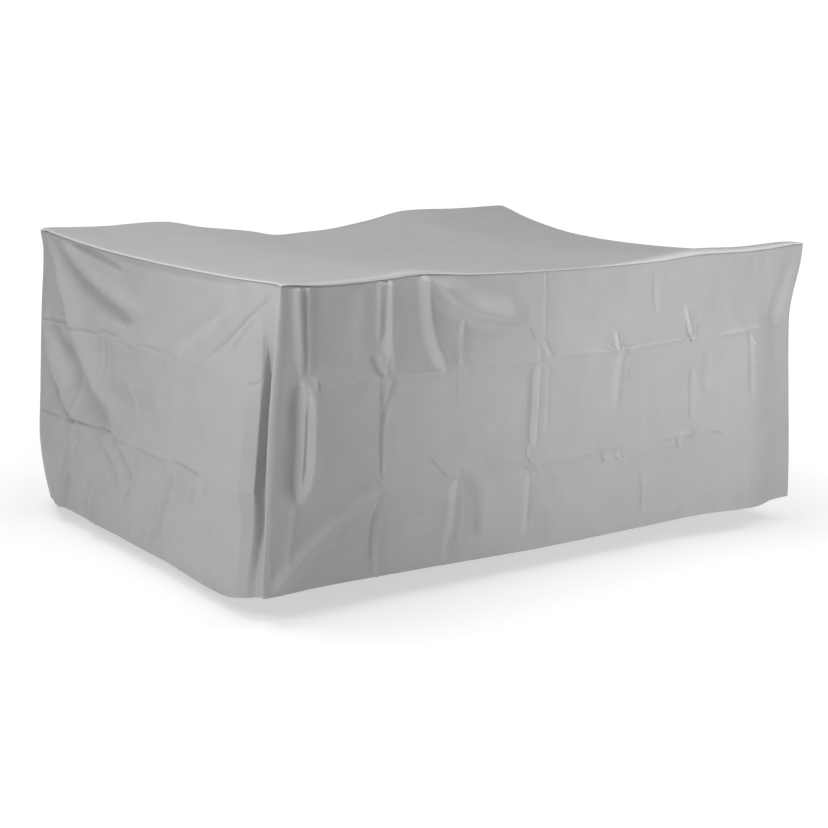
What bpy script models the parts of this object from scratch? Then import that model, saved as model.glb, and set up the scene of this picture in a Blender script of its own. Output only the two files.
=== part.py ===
"""A patio furniture cover, in the shape in which it hangs.

Five panels of coated cloth: a top panel and four walls, sewn together along the top edge and down the corners.
What it covers is not built. Units are metres, +Z is up and +X runs along the long side.
The origin is under the middle of the top panel, where the cover is held up.
The shape is worked out in heights above the level of the front hem, then lowered by HELD_HEIGHT.
"""

from collections import namedtuple
from math import exp

import bmesh
import bpy
from mathutils import Vector

LENGTH = 2.20
WIDTH = 1.80
SEAM_HEIGHT = 0.951
HELD_HEIGHT = 0.852

CLOTH = 0.002
HEM_CLOTH = 0.003
HEM_DEPTH = 0.028
HEM_STEP = 0.003
SEAM_INSET = 0.0019
CORNER_INSET = 0.0017

CLOTH_COLOR = (0.45, 0.45, 0.445, 1.0)
CLOTH_ROUGHNESS = 0.55

# The top edge sags and is drawn in where it hangs free between two supports.
Edge = namedtuple("Edge", "along sag pull")

# The rolled edge of the top panel stands this high above its seam.
Roll = namedtuple("Roll", "along rise")

# The hem's height, and how far it stands out from the straight line between its two corners.
Hem = namedtuple("Hem", "along height out")

# A corner seam leaves the plumb line under its top corner by these distances, outwards from the cover.
Lean = namedtuple("Lean", "down out_x out_y")

# A fold runs from its first to its second point, given along the wall and up from the front hem.
# A positive rise stands out and a negative one is a hollow. bow bends the line sideways at its middle.
Fold = namedtuple("Fold", "along_1 up_1 along_2 up_2 half_width rise bow")

Corner = namedtuple("Corner", "side_x side_y lean")
Wall = namedtuple("Wall", "name start end outward length edge roll hem recover folds flute grid")
Grid = namedtuple("Grid", "fine fine_to middle middle_to coarse rows")

FRONT_ROLL = (
    Roll(0.00, 0.004),
    Roll(0.10, 0.009),
    Roll(0.30, 0.016),
    Roll(0.50, 0.018),
    Roll(0.75, 0.004),
    Roll(1.20, 0.003),
    Roll(1.60, 0.021),
    Roll(1.90, 0.018),
    Roll(2.12, 0.013),
    Roll(2.20, 0.004),
)
BACK_ROLL = (Roll(0.00, 0.004), Roll(0.30, 0.008), Roll(1.90, 0.008), Roll(2.20, 0.004))
SIDE_ROLL = (Roll(0.00, 0.004), Roll(0.30, 0.005), Roll(1.50, 0.005), Roll(1.80, 0.004))
ROLL_RADIUS = 0.011
ROLL_REACH = 0.17

CORNERS = {
    "front_left": Corner(
        -1,
        -1,
        (
            Lean(0.00, 0.000, 0.000),
            Lean(0.22, 0.018, -0.005),
            Lean(0.42, 0.032, -0.014),
            Lean(0.80, 0.037, -0.040),
            Lean(0.95, 0.041, -0.051),
            Lean(1.00, 0.034, -0.056),
        ),
    ),
    "front_right": Corner(
        1,
        -1,
        (
            Lean(0.00, 0.004, 0.000),
            Lean(0.07, 0.002, 0.000),
            Lean(0.22, -0.030, -0.001),
            Lean(0.30, -0.033, -0.003),
            Lean(0.60, 0.002, -0.016),
            Lean(0.85, 0.032, -0.030),
            Lean(1.00, 0.040, -0.036),
        ),
    ),
    "back_left": Corner(
        -1,
        1,
        (
            Lean(0.00, 0.000, 0.000),
            Lean(0.08, -0.006, 0.000),
            Lean(0.28, 0.012, -0.004),
            Lean(0.60, 0.035, -0.008),
            Lean(0.76, 0.040, -0.014),
            Lean(0.90, 0.028, -0.030),
            Lean(1.00, 0.008, -0.048),
        ),
    ),
    "back_right": Corner(
        1,
        1,
        (
            Lean(0.00, 0.000, 0.000),
            Lean(0.25, -0.014, -0.012),
            Lean(0.60, 0.010, 0.006),
            Lean(1.00, 0.026, 0.014),
        ),
    ),
}

# The deep flute behind the front left corner seam: its depth at each height.
Flute = namedtuple("Flute", "up depth")
FRONT_LEFT_FLUTE = (
    Flute(-0.06, 0.012),
    Flute(0.08, 0.026),
    Flute(0.30, 0.050),
    Flute(0.50, 0.052),
    Flute(0.66, 0.036),
    Flute(0.80, 0.010),
    Flute(0.92, 0.000),
)
FLUTE_BOTTOM = 0.050
FLUTE_END = 0.150

FRONT_FOLDS = (
    Fold(0.055, 0.945, 0.100, 0.640, 0.013, 0.009, 0.000),
    Fold(0.095, 0.945, 0.128, 0.640, 0.012, 0.008, 0.000),
    Fold(0.118, 0.640, 0.108, 0.290, 0.015, 0.013, -0.014),
    Fold(0.137, 0.640, 0.132, 0.290, 0.015, 0.013, 0.022),
    Fold(0.078, 0.650, 0.085, 0.290, 0.020, -0.014, 0.000),
    Fold(0.180, 0.620, 0.165, 0.310, 0.032, -0.010, 0.010),
    Fold(0.355, 0.945, 0.370, 0.700, 0.014, 0.007, 0.000),
    Fold(0.388, 0.945, 0.436, 0.640, 0.018, 0.013, -0.006),
    Fold(0.400, 0.660, 0.402, 0.290, 0.022, -0.014, 0.000),
    Fold(0.520, 0.945, 0.632, 0.645, 0.024, 0.019, -0.016),
    Fold(0.585, 0.870, 0.675, 0.655, 0.030, -0.013, -0.010),
    Fold(0.560, 0.935, 0.930, 0.765, 0.042, 0.018, -0.020),
    Fold(0.020, 0.010, 0.375, 0.340, 0.026, 0.020, 0.010),
    Fold(0.160, 0.110, 0.380, 0.270, 0.036, -0.012, 0.000),
    Fold(0.405, 0.290, 0.392, 0.010, 0.018, 0.009, 0.000),
    Fold(0.690, 0.290, 0.655, 0.010, 0.020, 0.011, 0.006),
    Fold(0.715, 0.270, 0.730, 0.060, 0.018, 0.008, 0.000),
    Fold(0.760, 0.270, 0.780, 0.060, 0.030, -0.009, 0.000),
    Fold(1.016, 0.700, 0.980, 0.010, 0.028, 0.008, 0.000),
    Fold(1.362, 0.640, 1.358, 0.430, 0.035, 0.006, 0.000),
    Fold(1.707, 0.560, 1.707, 0.340, 0.035, -0.006, 0.000),
    Fold(2.170, 0.910, 2.090, 0.640, 0.040, -0.012, 0.000),
    Fold(0.000, 0.640, 2.150, 0.652, 0.045, 0.005, 0.000),
    Fold(0.100, 0.300, 2.100, 0.300, 0.045, 0.005, 0.016),
)

LEFT_FOLDS = (
    Fold(1.770, 0.900, 1.130, 0.345, 0.036, 0.022, -0.030),
    Fold(1.560, 0.560, 1.160, 0.320, 0.055, -0.028, -0.010),
    Fold(1.110, 0.320, 0.920, 0.180, 0.034, 0.010, 0.000),
    Fold(1.680, 0.960, 0.960, 0.760, 0.030, 0.012, 0.045),
    Fold(1.640, 0.885, 0.980, 0.700, 0.038, -0.014, 0.045),
    Fold(1.520, 0.925, 1.130, 0.865, 0.022, -0.012, 0.000),
    Fold(1.760, 0.680, 1.440, 0.340, 0.030, 0.014, -0.040),
    Fold(1.740, 0.560, 1.500, 0.320, 0.035, -0.014, -0.030),
    Fold(0.040, 0.945, 0.480, 0.645, 0.024, 0.010, 0.000),
    Fold(0.280, 0.870, 0.740, 0.640, 0.045, 0.010, 0.000),
    Fold(1.375, 0.300, 1.550, -0.045, 0.024, 0.014, 0.010),
    Fold(1.330, 0.270, 1.480, -0.040, 0.050, -0.012, 0.000),
    Fold(1.100, 0.180, 1.255, -0.040, 0.022, 0.008, 0.000),
    Fold(0.600, 0.270, 0.720, -0.020, 0.028, 0.009, 0.010),
    Fold(0.400, 0.290, 0.490, 0.060, 0.030, 0.006, 0.000),
    Fold(0.900, 0.350, 0.888, 0.130, 0.022, 0.006, 0.000),
    Fold(0.930, 0.900, 0.960, 0.640, 0.024, 0.005, 0.000),
    Fold(1.760, 0.240, 1.640, -0.060, 0.080, -0.034, 0.000),
    Fold(0.260, 0.640, 1.740, 0.636, 0.040, 0.006, 0.000),
    Fold(0.100, 0.297, 1.780, 0.294, 0.040, 0.007, 0.000),
)

RIGHT_FOLDS = (
    Fold(0.040, 0.930, 0.640, 0.420, 0.050, 0.020, 0.030),
    Fold(0.120, 0.700, 0.520, 0.360, 0.060, -0.018, 0.020),
    Fold(1.760, 0.920, 1.280, 0.520, 0.055, 0.018, -0.030),
    Fold(1.660, 0.700, 1.300, 0.400, 0.060, -0.016, 0.000),
    Fold(0.420, 0.320, 0.300, -0.030, 0.050, 0.014, 0.000),
    Fold(1.380, 0.320, 1.500, -0.030, 0.055, 0.016, 0.000),
    Fold(0.900, 0.620, 0.900, 0.000, 0.060, 0.010, 0.010),
    Fold(0.100, 0.640, 1.700, 0.640, 0.060, 0.006, 0.000),
    Fold(0.100, 0.300, 1.700, 0.300, 0.060, 0.006, 0.000),
)

BACK_FOLDS = (
    Fold(0.530, 0.940, 0.640, 0.640, 0.050, 0.020, -0.012),
    Fold(0.560, 0.930, 0.920, 0.760, 0.060, 0.016, -0.020),
    Fold(1.670, 0.940, 1.560, 0.640, 0.050, 0.020, 0.012),
    Fold(1.640, 0.930, 1.300, 0.770, 0.060, 0.016, 0.020),
    Fold(0.020, 0.020, 0.380, 0.340, 0.060, 0.018, 0.008),
    Fold(2.180, 0.020, 1.860, 0.360, 0.060, 0.016, -0.008),
    Fold(0.370, 0.900, 0.360, 0.300, 0.050, 0.012, 0.000),
    Fold(1.100, 0.640, 1.080, 0.020, 0.060, 0.010, 0.000),
    Fold(1.820, 0.640, 1.840, 0.300, 0.050, -0.012, 0.000),
    Fold(0.060, 0.640, 2.140, 0.640, 0.060, 0.006, 0.000),
    Fold(0.060, 0.300, 2.140, 0.300, 0.060, 0.006, 0.000),
)
# A fold fades over this share of its length at each end, and near the seams of its wall.
FOLD_FADE = 0.22
CORNER_HOLD = 0.03
SEAM_HOLD = 0.05

WALLS = {
    "front": Wall(
        name="wall_front",
        start="front_left",
        end="front_right",
        outward=Vector((0, -1, 0)),
        length=LENGTH,
        edge=(
            Edge(0.00, 0.000, 0.000),
            Edge(0.15, 0.009, 0.000),
            Edge(0.36, 0.005, 0.000),
            Edge(0.50, -0.002, 0.000),
            Edge(0.73, 0.015, 0.015),
            Edge(1.12, 0.026, 0.030),
            Edge(1.50, 0.021, 0.015),
            Edge(1.68, 0.008, 0.002),
            Edge(1.92, 0.010, 0.000),
            Edge(2.20, 0.000, 0.000),
        ),
        roll=FRONT_ROLL,
        hem=(
            Hem(0.00, -0.017, 0.000),
            Hem(0.30, -0.015, -0.004),
            Hem(1.10, -0.030, -0.010),
            Hem(1.90, -0.016, -0.004),
            Hem(2.20, -0.013, 0.000),
        ),
        recover=3.0,
        folds=FRONT_FOLDS,
        flute=(),
        grid=Grid(0.0175, 0.14, 0.034, 0.75, 0.070, 20),
    ),
    "left": Wall(
        name="wall_left",
        start="front_left",
        end="back_left",
        outward=Vector((-1, 0, 0)),
        length=WIDTH,
        edge=(
            Edge(0.00, 0.000, 0.000),
            Edge(0.17, 0.006, 0.010),
            Edge(0.40, 0.017, 0.024),
            Edge(0.90, 0.028, 0.035),
            Edge(1.30, 0.024, 0.026),
            Edge(1.50, 0.014, 0.016),
            Edge(1.80, -0.004, 0.000),
        ),
        roll=SIDE_ROLL,
        hem=(
            Hem(0.00, -0.017, 0.000),
            Hem(0.10, -0.036, 0.022),
            Hem(0.22, -0.056, 0.032),
            Hem(0.60, -0.053, 0.028),
            Hem(1.20, -0.050, 0.036),
            Hem(1.60, -0.047, 0.036),
            Hem(1.80, -0.062, 0.000),
        ),
        recover=2.0,
        folds=LEFT_FOLDS,
        flute=FRONT_LEFT_FLUTE,
        grid=Grid(0.0170, 0.17, 0.048, 1.80, 0.048, 20),
    ),
    "right": Wall(
        name="wall_right",
        start="front_right",
        end="back_right",
        outward=Vector((1, 0, 0)),
        length=WIDTH,
        edge=(
            Edge(0.00, 0.000, 0.000),
            Edge(0.30, 0.044, 0.028),
            Edge(0.50, 0.067, 0.046),
            Edge(0.90, 0.079, 0.060),
            Edge(1.25, 0.072, 0.049),
            Edge(1.55, 0.042, 0.025),
            Edge(1.80, 0.002, 0.000),
        ),
        roll=SIDE_ROLL,
        hem=(
            Hem(0.00, -0.013, 0.000),
            Hem(0.50, -0.032, 0.016),
            Hem(1.30, -0.040, 0.020),
            Hem(1.80, -0.034, 0.000),
        ),
        recover=2.0,
        folds=RIGHT_FOLDS,
        flute=(),
        grid=Grid(0.075, 0.15, 0.075, 1.80, 0.075, 12),
    ),
    "back": Wall(
        name="wall_back",
        start="back_left",
        end="back_right",
        outward=Vector((0, 1, 0)),
        length=LENGTH,
        edge=(
            Edge(0.00, -0.002, 0.000),
            Edge(0.25, 0.002, 0.000),
            Edge(0.51, -0.003, 0.000),
            Edge(0.66, 0.023, 0.022),
            Edge(0.86, 0.046, 0.048),
            Edge(0.98, 0.067, 0.058),
            Edge(1.11, 0.063, 0.060),
            Edge(1.26, 0.056, 0.050),
            Edge(1.47, 0.030, 0.028),
            Edge(1.66, 0.002, 0.000),
            Edge(1.95, 0.004, 0.000),
            Edge(2.20, 0.002, 0.000),
        ),
        roll=BACK_ROLL,
        hem=(
            Hem(0.00, -0.062, 0.000),
            Hem(0.60, -0.050, 0.012),
            Hem(1.60, -0.046, 0.008),
            Hem(2.20, -0.034, 0.000),
        ),
        recover=3.0,
        folds=BACK_FOLDS,
        flute=(),
        grid=Grid(0.075, 0.15, 0.075, 2.20, 0.075, 12),
    ),
}

TOP_EDGE_STEPS = (0.0, 0.007, 0.018, 0.045, 0.10)
TOP_STEP = 0.105


def smooth(x):
    x = min(max(x, 0.0), 1.0)
    return x * x * (3 - 2 * x)


def slope(rows, i, column):
    """Slope of a table's column at row i, from the rows on both sides of it."""
    low = rows[max(i - 1, 0)]
    high = rows[min(i + 1, len(rows) - 1)]
    return (high[column] - low[column]) / (high[0] - low[0])


def read_table(rows, where, column=1):
    """A column of a table at a place in its first column, read from a smooth curve through its rows."""
    where = min(max(where, rows[0][0]), rows[-1][0])
    i = max(k for k in range(len(rows) - 1) if rows[k][0] <= where)
    gap = rows[i + 1][0] - rows[i][0]
    share = (where - rows[i][0]) / gap
    back = 1 - share
    return (
        rows[i][column] * back * back * (1 + 2 * share)
        + rows[i + 1][column] * share * share * (1 + 2 * back)
        + slope(rows, i, column) * gap * share * back * back
        - slope(rows, i + 1, column) * gap * share * share * back
    )


def corner_point(name, down):
    """Plan position of a corner seam, at a share of the way down."""
    corner = CORNERS[name]
    out_x = read_table(corner.lean, down, 1)
    out_y = read_table(corner.lean, down, 2)
    return Vector((corner.side_x * (LENGTH / 2 + out_x), corner.side_y * (WIDTH / 2 + out_y), 0))


def seam_point(wall, along):
    start = corner_point(wall.start, 0.0)
    end = corner_point(wall.end, 0.0)
    point = start.lerp(end, along / wall.length) - wall.outward * read_table(wall.edge, along, 2)
    point.z = SEAM_HEIGHT - read_table(wall.edge, along, 1)
    return point


def fold_rise(fold, along, up):
    run = (fold.along_2 - fold.along_1, fold.up_2 - fold.up_1)
    length = (run[0] ** 2 + run[1] ** 2) ** 0.5
    from_start = (along - fold.along_1, up - fold.up_1)
    share = (from_start[0] * run[0] + from_start[1] * run[1]) / length**2
    if not 0 < share < 1:
        return 0.0
    aside = (from_start[1] * run[0] - from_start[0] * run[1]) / length
    aside -= fold.bow * 4 * share * (1 - share)
    ends = smooth(share / FOLD_FADE) * smooth((1 - share) / FOLD_FADE)
    return fold.rise * ends * exp(-((aside / fold.half_width) ** 2))


def flute_depth(wall, along, up):
    """The flute falls steeply from the corner seam to its bottom, and climbs slowly to its far side."""
    if not wall.flute or along >= FLUTE_END:
        return 0.0
    if along < FLUTE_BOTTOM:
        share = smooth(along / FLUTE_BOTTOM)
    else:
        share = 1 - smooth((along - FLUTE_BOTTOM) / (FLUTE_END - FLUTE_BOTTOM))
    return read_table(wall.flute, up) * share


def wall_point(wall, along, down):
    """A point of a wall's cloth, at a distance along it and a share of the way down from seam to hem."""
    sag = read_table(wall.edge, along, 1)
    pull = read_table(wall.edge, along, 2)
    start = corner_point(wall.start, down)
    end = corner_point(wall.end, down)
    point = start.lerp(end, along / wall.length)
    up = (SEAM_HEIGHT - sag) * (1 - down) + read_table(wall.hem, along, 1) * down
    out = read_table(wall.hem, along, 2) * smooth(down) - pull * (1 - down) ** wall.recover
    # Folds and the flute die away at the corner seams and at the top seam.
    from_end = min(along, wall.length - along)
    under_seam = smooth(down / SEAM_HOLD)
    beside_corner = smooth(from_end / CORNER_HOLD)
    out += under_seam * beside_corner * sum(fold_rise(fold, along, up) for fold in wall.folds)
    out -= under_seam * flute_depth(wall, along, up)
    point += wall.outward * out
    point.z = up
    return point


def columns(wall):
    """Distances along a wall of its grid lines: fine near its start, then wider apart."""
    grid = wall.grid
    edges = (0.0, grid.fine_to, grid.middle_to, wall.length)
    steps = (grid.fine, grid.middle, grid.coarse)
    places = [CORNER_INSET]
    for low, high, step in zip(edges, edges[1:], steps):
        count = round((high - low) / step)
        places += [low + (high - low) * (i + 1) / count for i in range(count)]
    places[-1] = wall.length - CORNER_INSET
    return places


def rows(wall):
    """Shares of the drop of a wall's grid lines. The last three make the doubled hem."""
    drop = SEAM_HEIGHT
    body = drop - HEM_DEPTH - HEM_STEP
    shares = [SEAM_INSET / drop]
    shares += [body / drop * (i + 1) / wall.grid.rows for i in range(wall.grid.rows)]
    return shares + [(drop - HEM_DEPTH) / drop, 1.0]


def top_lines(length):
    """Distances across the top panel of its grid lines: close together at the rolled edges."""
    inner = length - 2 * TOP_EDGE_STEPS[-1]
    count = round(inner / TOP_STEP)
    near = list(TOP_EDGE_STEPS)
    near[0] = SEAM_INSET
    middle = [TOP_EDGE_STEPS[-1] + inner * i / count for i in range(1, count)]
    return near + middle + [length - place for place in reversed(near)]


def top_point(across, deep):
    """A point of the top panel: a sheet hung from its four seams, with its rolled edges."""
    u = across / LENGTH
    v = deep / WIDTH
    front = seam_point(WALLS["front"], across)
    back = seam_point(WALLS["back"], across)
    left = seam_point(WALLS["left"], deep)
    right = seam_point(WALLS["right"], deep)
    flat = Vector((LENGTH * (u - 0.5), WIDTH * (v - 0.5), SEAM_HEIGHT))
    point = front.lerp(back, v) + left.lerp(right, u) - flat
    for side, from_edge, along in (
        ("front", deep, across),
        ("back", WIDTH - deep, across),
        ("left", across, deep),
        ("right", LENGTH - across, deep),
    ):
        climb = 1 - exp(-from_edge / ROLL_RADIUS)
        rise = read_table(WALLS[side].roll, along)
        point.z += rise * climb * exp(-((from_edge / ROLL_REACH) ** 2))
    return point


def cloth_material(name):
    material = bpy.data.materials.new(name + "_cloth")
    material.use_nodes = True
    shader = material.node_tree.nodes["Principled BSDF"]
    shader.inputs["Base Color"].default_value = CLOTH_COLOR
    shader.inputs["Roughness"].default_value = CLOTH_ROUGHNESS
    shader.inputs["Metallic"].default_value = 0.0
    material.diffuse_color = CLOTH_COLOR
    return material


def panel(name, lines_1, lines_2, point_at, hem_lines=0):
    """A grid bent into its hanging shape and given its thickness, thicker at the doubled hem."""
    mesh = bpy.data.meshes.new(name)
    shape = bmesh.new()
    last_1 = len(lines_1) - 1
    last_2 = len(lines_2) - 1
    bmesh.ops.create_grid(shape, x_segments=last_1, y_segments=last_2, size=0.5)
    shape.verts.index_update()
    doubled = []
    for vertex in shape.verts:
        i = round((vertex.co.x + 0.5) * last_1)
        j = round((vertex.co.y + 0.5) * last_2)
        if j > last_2 - hem_lines:
            doubled.append(vertex.index)
        vertex.co = point_at(lines_1[i], lines_2[j])
    shape.to_mesh(mesh)
    shape.free()
    mesh.shade_smooth()
    mesh.materials.append(cloth_material(name))
    body = bpy.data.objects.new(name, mesh)
    cover.objects.link(body)
    body.parent = hanging_point
    sheet = body.modifiers.new("cloth", "SOLIDIFY")
    sheet.thickness = CLOTH
    sheet.offset = 0.0
    if hem_lines:
        everywhere = body.vertex_groups.new(name="thickness")
        everywhere.add(range(len(mesh.vertices)), CLOTH / HEM_CLOTH, "REPLACE")
        everywhere.add(doubled, 1.0, "REPLACE")
        sheet.vertex_group = "thickness"
        sheet.thickness = HEM_CLOTH
    return body


for thing in list(bpy.data.objects):
    bpy.data.objects.remove(thing, do_unlink=True)

cover = bpy.data.collections.new("patio_furniture_cover")
bpy.context.scene.collection.children.link(cover)

hanging_point = bpy.data.objects.new("under_top_panel", None)
hanging_point.location = (0, 0, -HELD_HEIGHT)
cover.objects.link(hanging_point)

panel("top_panel", top_lines(LENGTH), top_lines(WIDTH), top_point)
for wall in WALLS.values():
    panel(
        wall.name,
        columns(wall),
        rows(wall),
        lambda along, down, wall=wall: wall_point(wall, along, down),
        hem_lines=2,
    )
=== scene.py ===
import math
from collections import namedtuple

import bpy
import numpy as np
from mathutils import Matrix, Vector


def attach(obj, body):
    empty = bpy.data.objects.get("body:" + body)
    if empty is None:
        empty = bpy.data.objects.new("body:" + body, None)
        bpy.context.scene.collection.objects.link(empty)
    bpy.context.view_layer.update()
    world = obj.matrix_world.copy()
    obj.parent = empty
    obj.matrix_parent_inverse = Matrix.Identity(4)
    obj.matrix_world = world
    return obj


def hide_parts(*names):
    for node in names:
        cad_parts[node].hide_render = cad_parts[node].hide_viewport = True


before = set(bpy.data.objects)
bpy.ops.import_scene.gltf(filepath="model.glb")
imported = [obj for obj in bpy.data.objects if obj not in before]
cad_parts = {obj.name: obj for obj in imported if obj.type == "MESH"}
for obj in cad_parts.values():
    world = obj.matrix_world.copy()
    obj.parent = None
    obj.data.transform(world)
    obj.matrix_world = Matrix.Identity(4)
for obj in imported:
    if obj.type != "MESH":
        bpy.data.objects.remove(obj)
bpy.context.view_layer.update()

# ---------------------------------------------------------------- Top panel
# One rectangle of light grey coated polyester, sewn all round to the four walls. It lies on supports near the
# corners and sags between them. Its edge rolls over the seam, where the seam allowance makes a narrow band.

LENGTH = 2.20
WIDTH = 1.80
# Heights are measured from a level near the hem, this far below the top corners.
SEAM_HEIGHT = 0.951
# The frame has its zero at this height, under the middle of the top, where the cover is held up.
HELD_HEIGHT = 0.852

# How far the top seam hangs below its corners, and how far it is drawn in, along each side.
Edge = namedtuple("Edge", "along sag pull")
FRONT_EDGE = (
    Edge(0.00, 0.000, 0.000), Edge(0.15, 0.009, 0.000), Edge(0.36, 0.005, 0.000), Edge(0.50, -0.002, 0.000),
    Edge(0.73, 0.015, 0.015), Edge(1.12, 0.026, 0.030), Edge(1.50, 0.021, 0.015), Edge(1.68, 0.008, 0.002),
    Edge(1.92, 0.010, 0.000), Edge(2.20, 0.000, 0.000),
)
LEFT_EDGE = (
    Edge(0.00, 0.000, 0.000), Edge(0.17, 0.006, 0.010), Edge(0.40, 0.017, 0.024), Edge(0.90, 0.028, 0.035),
    Edge(1.30, 0.024, 0.026), Edge(1.50, 0.014, 0.016), Edge(1.80, -0.004, 0.000),
)
RIGHT_EDGE = (
    Edge(0.00, 0.000, 0.000), Edge(0.30, 0.044, 0.028), Edge(0.50, 0.067, 0.046), Edge(0.90, 0.079, 0.060),
    Edge(1.25, 0.072, 0.049), Edge(1.55, 0.042, 0.025), Edge(1.80, 0.002, 0.000),
)
BACK_EDGE = (
    Edge(0.00, -0.002, 0.000), Edge(0.25, 0.002, 0.000), Edge(0.51, -0.003, 0.000), Edge(0.66, 0.023, 0.022),
    Edge(0.86, 0.046, 0.048), Edge(0.98, 0.067, 0.058), Edge(1.11, 0.063, 0.060), Edge(1.26, 0.056, 0.050),
    Edge(1.47, 0.030, 0.028), Edge(1.66, 0.002, 0.000), Edge(1.95, 0.004, 0.000), Edge(2.20, 0.002, 0.000),
)

# A corner seam stands this far outside the plumb line under its top corner, at a share of the way down.
Lean = namedtuple("Lean", "down out_x out_y")
Corner = namedtuple("Corner", "side_x side_y leans")
FRONT_LEFT = Corner(-1, -1, (
    Lean(0.00, 0.000, 0.000), Lean(0.22, 0.018, -0.005), Lean(0.42, 0.032, -0.014), Lean(0.80, 0.037, -0.040),
    Lean(0.95, 0.041, -0.051), Lean(1.00, 0.034, -0.056),
))
FRONT_RIGHT = Corner(1, -1, (
    Lean(0.00, 0.004, 0.000), Lean(0.07, 0.002, 0.000), Lean(0.22, -0.030, -0.001), Lean(0.30, -0.033, -0.003),
    Lean(0.60, 0.002, -0.016), Lean(0.85, 0.032, -0.030), Lean(1.00, 0.040, -0.036),
))
BACK_LEFT = Corner(-1, 1, (
    Lean(0.00, 0.000, 0.000), Lean(0.08, -0.006, 0.000), Lean(0.28, 0.012, -0.004), Lean(0.60, 0.035, -0.008),
    Lean(0.76, 0.047, -0.006), Lean(0.90, 0.044, -0.014), Lean(1.00, 0.030, -0.028),
))
BACK_RIGHT = Corner(1, 1, (
    Lean(0.00, 0.000, 0.000), Lean(0.25, -0.014, -0.012), Lean(0.60, 0.010, 0.006), Lean(1.00, 0.026, 0.014),
))

# How high the rolled edge stands above the seam.
Roll = namedtuple("Roll", "along rise")
FRONT_ROLL = (
    Roll(0.00, 0.004), Roll(0.10, 0.009), Roll(0.30, 0.016), Roll(0.50, 0.018), Roll(0.75, 0.004),
    Roll(1.20, 0.003), Roll(1.60, 0.021), Roll(1.90, 0.018), Roll(2.12, 0.013), Roll(2.20, 0.004),
)
BACK_ROLL = (Roll(0.00, 0.004), Roll(0.30, 0.008), Roll(1.90, 0.008), Roll(2.20, 0.004))
SIDE_ROLL = (Roll(0.00, 0.004), Roll(0.30, 0.006), Roll(1.50, 0.006), Roll(1.80, 0.004))
ROLL_RADIUS = 0.011
ROLL_REACH = 0.17
# The seam allowance lifts a band along the edge, and the stitches beside it draw the cloth in.
BAND_WIDTH = 0.008
BAND_RISE = 0.0016
STITCH_WIDTH = 0.0022
STITCH_DEPTH = 0.0012
# Both are puckered by about this share, in bumps of about this length.
PUCKER_SHARE = 0.35
PUCKER_LENGTH = 0.03
PUCKER_SEED = 3
# At its very edge the cloth laps over the seam: a last turn out and down.
LAP_OUT = 0.0008
LAP_DOWN = 0.0015

# Slack cloth is never quite flat. It has soft bumps of these heights and sizes, which are fully out only
# this far from the top seam and from a corner seam.
Bumps = namedtuple("Bumps", "height length breadth from_seam from_corner", defaults=(None,))
TOP_BUMPS = (Bumps(0.0030, 0.45, 0.45, 0.05), Bumps(0.0006, 0.12, 0.12, 0.05))
TOP_BUMPS_SEED = 5


def smooth(x):
    """0 below 0, 1 above 1, and an even climb between them."""
    x = np.clip(x, 0.0, 1.0)
    return x * x * (3 - 2 * x)


def bell(distance, width):
    """1 at no distance, and almost 0 at twice the width."""
    return np.exp(-((distance / width) ** 2))


def read_table(rows, where, column=1):
    """A column of a table at places in its first column, read from a smooth curve through its rows."""
    rows = np.array(rows, float)
    at, value = rows[:, 0], rows[:, column]
    low = np.maximum(np.arange(len(at)) - 1, 0)
    high = np.minimum(np.arange(len(at)) + 1, len(at) - 1)
    slope = (value[high] - value[low]) / (at[high] - at[low])
    where = np.clip(where, at[0], at[-1])
    i = np.clip(np.searchsorted(at, where, side="right") - 1, 0, len(at) - 2)
    gap = at[i + 1] - at[i]
    share = (where - at[i]) / gap
    back = 1 - share
    return (
        value[i] * back * back * (1 + 2 * share)
        + value[i + 1] * share * share * (1 + 2 * back)
        + slope[i] * gap * share * back * back
        - slope[i + 1] * gap * share * share * back
    )


def uneven(seed, x, y, size_x, size_y):
    """Smooth random unevenness from -1 to 1, with bumps of about the given sizes."""
    u = (x - x.min()) / size_x
    v = (y - y.min()) / size_y
    heights = np.random.default_rng(seed).uniform(-1, 1, (int(u.max()) + 2, int(v.max()) + 2))
    i, j = u.astype(int), v.astype(int)
    a, b = smooth(u - i), smooth(v - j)
    near = heights[i, j] * (1 - a) + heights[i + 1, j] * a
    far = heights[i, j + 1] * (1 - a) + heights[i + 1, j + 1] * a
    return near * (1 - b) + far * b


GRADING_STEPS = 6000


def lines_from(crowd, at):
    """Grid lines, from how many of them there are to a metre at each place."""
    count = np.concatenate([[0], np.cumsum((crowd[1:] + crowd[:-1]) / 2 * np.diff(at))])
    return np.interp(np.linspace(0, count[-1], round(count[-1]) + 1), count, at)


def graded(length, wide, close, places, reach):
    """Grid lines from 0 to length: close together at the given places, wide apart elsewhere."""
    at = np.linspace(0, length, GRADING_STEPS + 1)
    near = np.max([bell(at - place, reach) for place in places], axis=0)
    return lines_from(1 / wide + (1 / close - 1 / wide) * near, at)


def corner_line(corner, down):
    """A corner seam's place, seen from above, at shares of the way down."""
    x = corner.side_x * (LENGTH / 2 + read_table(corner.leans, down, 1))
    y = corner.side_y * (WIDTH / 2 + read_table(corner.leans, down, 2))
    return np.stack([x, y, np.zeros_like(x)], -1)


def facing(start, end):
    """The direction that a side of the cover faces, from its two corners."""
    return np.array([start.side_x + end.side_x, start.side_y + end.side_y, 0]) / 2


def top_seam(edge, start, end, length, along):
    """Points of the top seam along one side, from its start corner to its end corner."""
    first, last = [corner_line(corner, np.zeros(1))[0] for corner in (start, end)]
    share = (along / length)[..., None]
    point = first * (1 - share) + last * share
    point = point - facing(start, end) * read_table(edge, along, 2)[..., None]
    point[..., 2] = SEAM_HEIGHT - read_table(edge, along, 1)
    return point


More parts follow.
